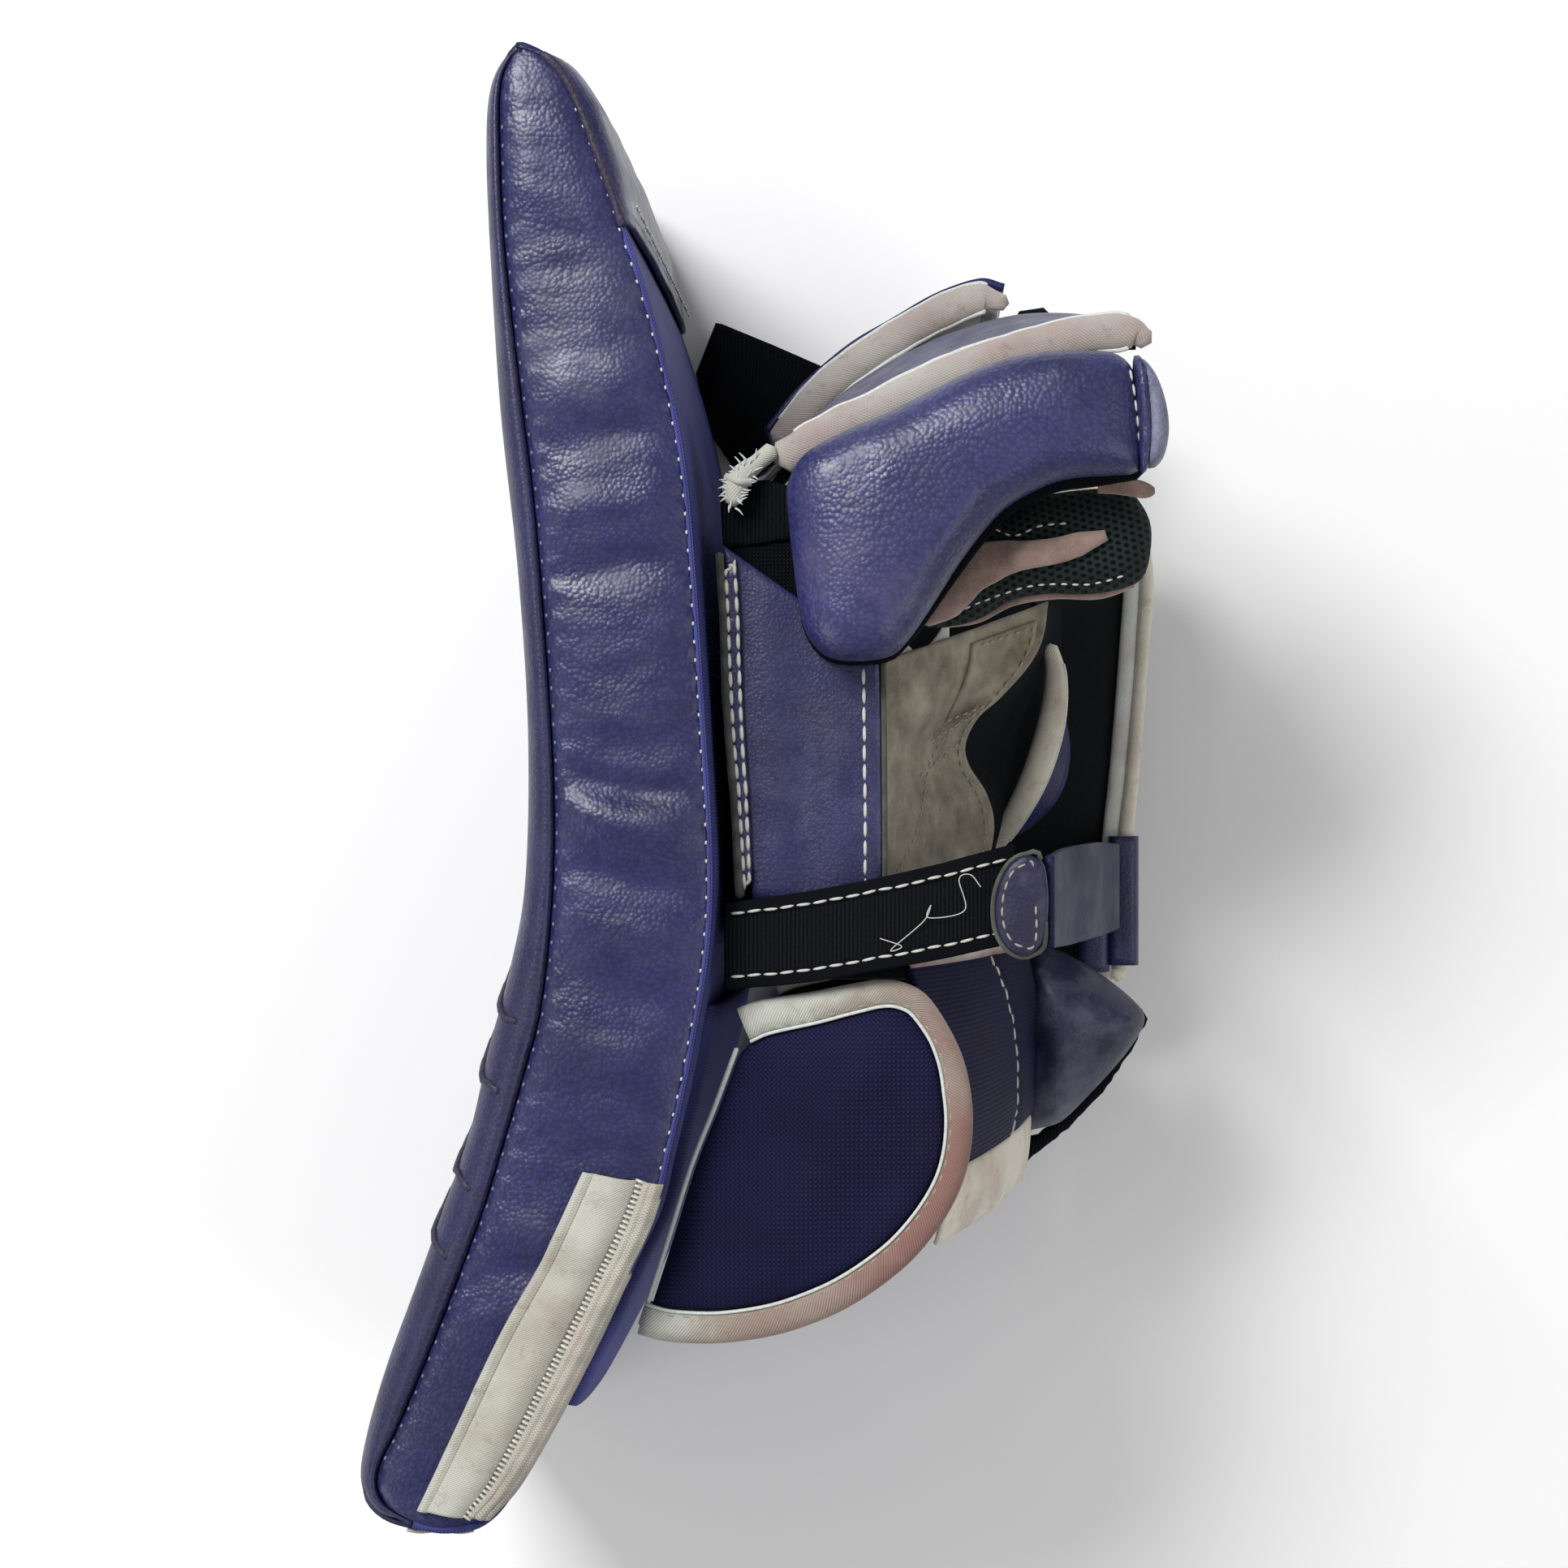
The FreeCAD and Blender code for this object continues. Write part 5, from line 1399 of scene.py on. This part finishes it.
def make_wrap():
    near = smooth_line([(72, -48, 171), (76, -62, 174.6), (80, -80, 176), (82, -92, 175.6),
                        (81, -102, 173.6),
                        (79, -110, 170)], 60)
    far = smooth_line([(105, -46, 99), (107.4, -60, 96), (108, -74, 95), (107.4, -86, 96), (106, -94, 98),
                       (103.4, -101, 100)], 60)
    grid = []
    for i in range(60):
        row = []
        for w in np.linspace(0, 1, 34):
            p = near[i] + (far[i] - near[i]) * w
            groove = -0.9 * bump_at(w, 0.62 + 0.1 * math.sin(i / 20), 0.04)
            out = 3.2 * math.sin(math.pi * w) + groove + 0.6 * ripple(p[0], p[1], size=9, seed=45)
            row.append(p + np.array((0.86, 0, 0.5)) * out)
        grid.append(row)
    grid = np.array(grid)
    cloth = sheet_grid("wrist_wrap_cloth", grid, 2.4, M["ballistic"], flip=True)
    settle(cloth, "board", "navy_nylon", "wrist_wrap", fill=0.5)
    path = [grid[i, int(33 * (0.62 + 0.1 * math.sin(i / 20)))] for i in range(60)]
    path = surface_under(cloth, path, 0.1, (-0.8, 0, -0.6))
    settle(stitch_row("wrist_wrap_stitches", path, M["thread"], 3.2, 1.1, 0.8), "board", "navy_nylon")
    for name, edge, reach, material in (("wrap_low_band", grid[51], -19.0, "cream"),
                                        ("wrap_top_band", grid[0], 4.0, "pink")):

        low = []
        for k, w in enumerate(np.linspace(0, 1, 16)):
            ease = np.array((-2.5 * w, reach * w, -3 * w * w))
            roll = np.array((0.7, 0, 0.7)) * (3.0 + 1.4 * math.sin(math.pi * w) ** 0.6)
            low.append([p + ease + roll + 0.5 * ripple(p[0], p[1] + k, size=7,
                                                       seed=46) * np.array((0.5, 0, 0.5)) for p in edge])
        piece = sheet_grid(name, low, 1.0, M[material], flip=reach > 0)
        settle(piece, "board", "white_binding")
    pad_line = rear_line[int(STATIONS * 0.12):int(STATIONS * 0.39)]
    rows = []
    for p, n in zip(pad_line[::3], -left_of(pad_line)[::3]):
        rows.append([(p[0] + n[0] * (0.8 + 5.2 * math.sin(math.pi * w) ** 0.35),
                      p[1] + n[1] * 5 * math.sin(math.pi * w) ** 0.35 * 0.9,
                      13 + 163 * w) for w in np.linspace(0, 1, 60)])
    settle(sheet_grid("cuff_back_padding", rows, 2.0, M["navy"]), "board", "navy_nylon", "cuff_back_pad",
           fill=0.6)


PAD_Z = (60, 93)
HOOK_STRIP_Z = (52.6, 57.4)


def make_far_pad():
    rim = closed_line([(104.6, -52.4), (107.4, -48.6), (111, -46.8), (117, -48.2), (124, -51.6),
                       (132, -56.8),
                       (139, -62.6), (142.4, -67), (141.6, -71.6), (137, -78.6), (131, -85.6), (125, -92),
                       (119.6, -97.4),
                       (116, -99.6), (110, -101), (104.4, -102.6), (101.6, -100.6), (102.4, -95),
                       (104.2, -86), (104.8, -74),
                       (103.6, -62)], 2.0)

    def form(x, y, z, depth, top):
        ridge = 2.2 * bump_at(x + 0.35 * y, 88, 7) * min(1, depth / 8) if top else 0
        return (x, y, z + ridge + 0.7 * ripple(x, y, size=17, seed=47) * min(1, depth / 5))

    pad = pillow("wrist_pad_leather", rim, *PAD_Z, 12.5, M["worn"], 2.2, form, crown=1.5)
    inflate(pad, 1.5, 3.0)
    settle(pad, "board", "smooth_leather", "wrist_pad", fill=0.85)
    strip = corner_line([(103, -107), (112, -104.6), (122, -97), (131, -86.6), (139, -74), (143.2, -66.6),
                         (145, -70),
                         (140, -80), (131.6, -92), (121, -103), (109, -112.6), (103.6, -113)], 2.0)

    def fray(x, y, z, depth, top):
        return (x + 0.6 * ripple(x, y, size=2.2, seed=48), y + 0.6 * ripple(y, x, size=2.2, seed=49), z)

    settle(pillow("wrist_hook_band", strip, *HOOK_STRIP_Z, 1.6, M["loop"], 1.6, fray), "board", "hook_loop",
           "wrist_hook_strip")
    tab = corner_line([(126, -88), (130, -84), (134.4, -88), (130.6, -93)], 1.4)
    settle(pillow("wrist_hook_tab", tab, 47.6, 52, 1.0, M["smooth"], 1.2), "board", "smooth_leather")


# ---------------------------------------------------------------- wrist strap
STRAP_TOP = [(25.4, -30.2), (45, -27.4), (63, -24), (80, -20.2), (92, -17), (101, -14.6)]
STRAP_LOW = [(25.4, -52.8), (45, -51), (64, -47.8), (82, -44.6), (92, -42.4), (101, -40.4)]


STRAP_Z = 187.7
STRAP_ARCH = 2.2
STRAP_THICK = 1.9


def make_strap():
    rows, cols = 90, 30
    top, low = smooth_line(STRAP_TOP, rows), smooth_line(STRAP_LOW, rows)
    grid = np.zeros((rows, cols, 3))
    for i in range(rows):
        s = i / (rows - 1)
        for j in range(cols):
            w = j / (cols - 1)
            x, y = top[i] + (low[i] - top[i]) * w
            rim = 0.5 * (bump_at(w, 0.0, 0.12) + bump_at(w, 1.0, 0.12))
            z = STRAP_Z + STRAP_ARCH * math.sin(math.pi * s) - rim + 0.35 * ripple(x, y, size=14, seed=51)
            grid[i, j] = (x, y, z)
    strap = sheet_grid("wrist_loop_strap", grid, STRAP_THICK, M["loop"], flip=True)
    settle(strap, "board", "hook_loop", "strap_loop_band", cut=grid)
    for name, columns in (("top", range(0, 6)), ("low", range(cols - 6, cols))):
        rim = grid[:, list(columns)] + np.array((0, 0, 0.3))
        settle(sheet_grid(f"strap_edge_{name}", rim, 0.5, M["ribbed"], flip=True), "board", "hook_loop")
    rows_made = []
    for name, w in (("top", 0.155), ("low", 0.855)):
        path = grid[:, int(w * cols)] + np.array((0, 0, 0.5))
        path = path + np.array([(0, 0.35 * ripple(p[0], 0, size=6, seed=52), 0) for p in path])
        rows_made.append(stitch_row(f"strap_row_{name}", path[2:-2], M["thread"], 3.6, 0.7, 0.75))
    settle(join("strap_stitches", *rows_made), "board", "hook_loop")
    knots = [(66 + 3.1 * k + 3.4 * math.sin(k * 2.3), -43 + 2.3 * k + 3.8 * math.cos(k * 1.7),
              190.6 + 0.4 * (k % 2))
             for k in range(10)]
    thread = smooth_line([(min(x, 92), y, z) for x, y, z in knots], 160)
    settle(tube("loose_thread", thread, 0.13, M["thread"], 6), "board", "hook_loop")
    make_strap_leather()


def make_strap_leather():
    spine = smooth_line([(134, 0, 58), (130, 0, 90), (121, 0, 135), (112, 0, 172), (108, 0, 187.6)], 60)
    rows = []
    for i, p in enumerate(spine):
        wave = 0.8 * math.sin(i / 4.2)
        out = np.array((0.95, 0, 0.3)) * wave
        low, high = -42 + 0.4 * wave, -18 + 2.4 * math.sin(i / 60 * math.pi)
        rows.append([(p[0] + out[0], low + (high - low) * w, p[2] + out[2]) for w in np.linspace(0, 1, 14)])
    settle(sheet_grid("wrist_leather_strap", rows, 2.2, M["strap"]), "board", "smooth_leather",
           "strap_leather", cut=rows)
    outline = closed_line([(107.6, -19), (104, -17.6), (100, -19.4), (97, -24), (95.6, -30), (96, -36),
                           (98.4, -41),
                           (102, -43.4), (105.6, -42.6), (108.4, -39), (109.4, -30), (108.8, -22)], 1.6)

    def bend(x, y, z, depth, top):
        return (x, y, z + 0.9 * math.sin((x - 95) / 13 * math.pi) + 0.25 * ripple(x, y, size=6, seed=53))

    tab = pillow("strap_leather_tab", outline, 190.9, 193.3, 1.0, M["worn"], 1.5, bend)
    settle(tab, "tab", "smooth_leather", "strap_tab")
    ring = closed_line([(105.6, -20.6), (103, -20), (100, -22), (98, -27), (97.6, -34), (99.4, -39),
                        (102.4, -41), (106, -39.6)], 1.0)
    row = surface_under(tab, lift_to(ring[:int(len(ring) * 0.86)], 210), 0.1)
    settle(stitch_row("strap_tab_stitches", row, M["old_thread"], 2.4, 0.9, 0.6), "tab", "smooth_leather")
    cut = closed_line([(107.4, -18.6), (104, -17.2), (99.8, -19), (96.6, -24), (95.2, -30), (95.6, -36.4),
                       (98, -41.4),
                       (102, -43.8), (105.8, -43), (108.6, -39)], 1.6)
    path = lift_to(cut[:int(len(cut) * 0.8)], 192)
    settle(tube("strap_tab_raw_edge", path, 0.65, M["raw_edge"], 8, 1.5), "tab", "smooth_leather")
    for index, x in enumerate((129.4, 138.2)):
        rows = []
        for k in range(40):
            a = 2 * math.pi * k / 40
            rows.append([(x + 4.6 * abs(math.cos(a)) ** 0.5 * (1 if math.cos(a) > 0 else -1),
                          -17 - 39 * w + index * 2.0,
                          46 + 6.6 * abs(math.sin(a)) ** 0.6 * (1 if math.sin(a) > 0 else -1))
                         for w in np.linspace(0, 1, 18)])
        rows.append(rows[0])
        piece = sheet_grid(f"strap_keeper_loop_{index}", rows, 1.5, M["smooth"])
        settle(piece, "board", "smooth_leather", *(["strap_keeper"] if index == 1 else []))


def make_board_end():
    """The cuff end's leather, a sheet curved round the board's cuff end from the face to the back."""
    rows = []
    for z in np.linspace(5, 198, 50):
        rows.append([(x, y + 0.4 * ripple(x, z, size=12, seed=55), z) for x, y in
                     smooth_line([(-66.2, -178), (-65.5, -184), (-61, -188.4), (-54, -190.2), (-44, -190.6),
                                  (-35, -188), (-29, -181)], 26)])
    end = sheet_grid("board_cuff_end", rows, 1.4, M["face"])
    settle(end, "board", "side_leather", "cuff_end_cap", fill=0.5)


# ---------------------------------------------------------------- floor, light, camera
FLOOR_SIZE = 6                    # this section is in metres
FLOOR_Z = -0.0004
LAMPS = (("key", (-0.5, 0.75, 1.25), 0.5, 20),
         ("fill", (0.95, -0.3, 1.0), 0.9, 4),
         ("low", (-0.9, -0.6, 0.8), 0.6, 3.5))    # name, place, size, watts
LAMP_AIM = Vector((0.03, 0, 0.1))
SKY_STRENGTH = 0.36
CAMERA_AT = Vector((0.075, 0.0008, 1.003))
CAMERA_AIM = Vector((0.0416, 0.0008, 0.203))
LENS, SENSOR = 72, 36             # millimetres


def link(name, data):
    made = bpy.data.objects.new(name, data)
    bpy.context.scene.collection.objects.link(made)
    return made


def make_floor():
    bpy.ops.mesh.primitive_plane_add(size=FLOOR_SIZE, location=(0, 0, FLOOR_Z))
    floor = bpy.context.object
    floor.name = "floor"
    floor.data.materials.append(M["floor"])


def make_lights():
    for name, place, size, power in LAMPS:
        light = bpy.data.lights.new(name, "AREA")
        light.energy, light.size = power, size
        lamp = link(name, light)
        lamp.location = place
        lamp.rotation_euler = (LAMP_AIM - lamp.location).to_track_quat("-Z", "Y").to_euler()
    world = bpy.data.worlds.new("studio")
    world.use_nodes = True
    sky = world.node_tree.nodes["Background"].inputs
    sky["Color"].default_value = (1, 1, 1, 1)
    sky["Strength"].default_value = SKY_STRENGTH
    bpy.context.scene.world = world
    bpy.context.scene.view_settings.view_transform = "Standard"


def make_camera():
    """The photo's view: straight down at the thumb side, with the fingertips at the top of the picture."""
    camera = link("camera", bpy.data.cameras.new("camera"))
    camera.data.lens, camera.data.sensor_width = LENS, SENSOR
    camera.location = CAMERA_AT
    back = (CAMERA_AT - CAMERA_AIM).normalized()
    right = Vector((0, 1, 0)).cross(back).normalized()
    camera.rotation_euler = Matrix((right, back.cross(right), back)).transposed().to_euler()
    bpy.context.scene.camera = camera


near_wall = make_board()
make_board_end()
make_zip(near_wall)
make_side_panel()
make_gussets()
make_backhand()
make_palm()
make_far_wall()
make_heel_flap()
make_thumb()
make_index_guard()
make_finger_guard()
make_wing("near", False)
make_wing("far", True)
make_wrap()
make_far_pad()
make_strap()
make_floor()
make_lights()
make_camera()
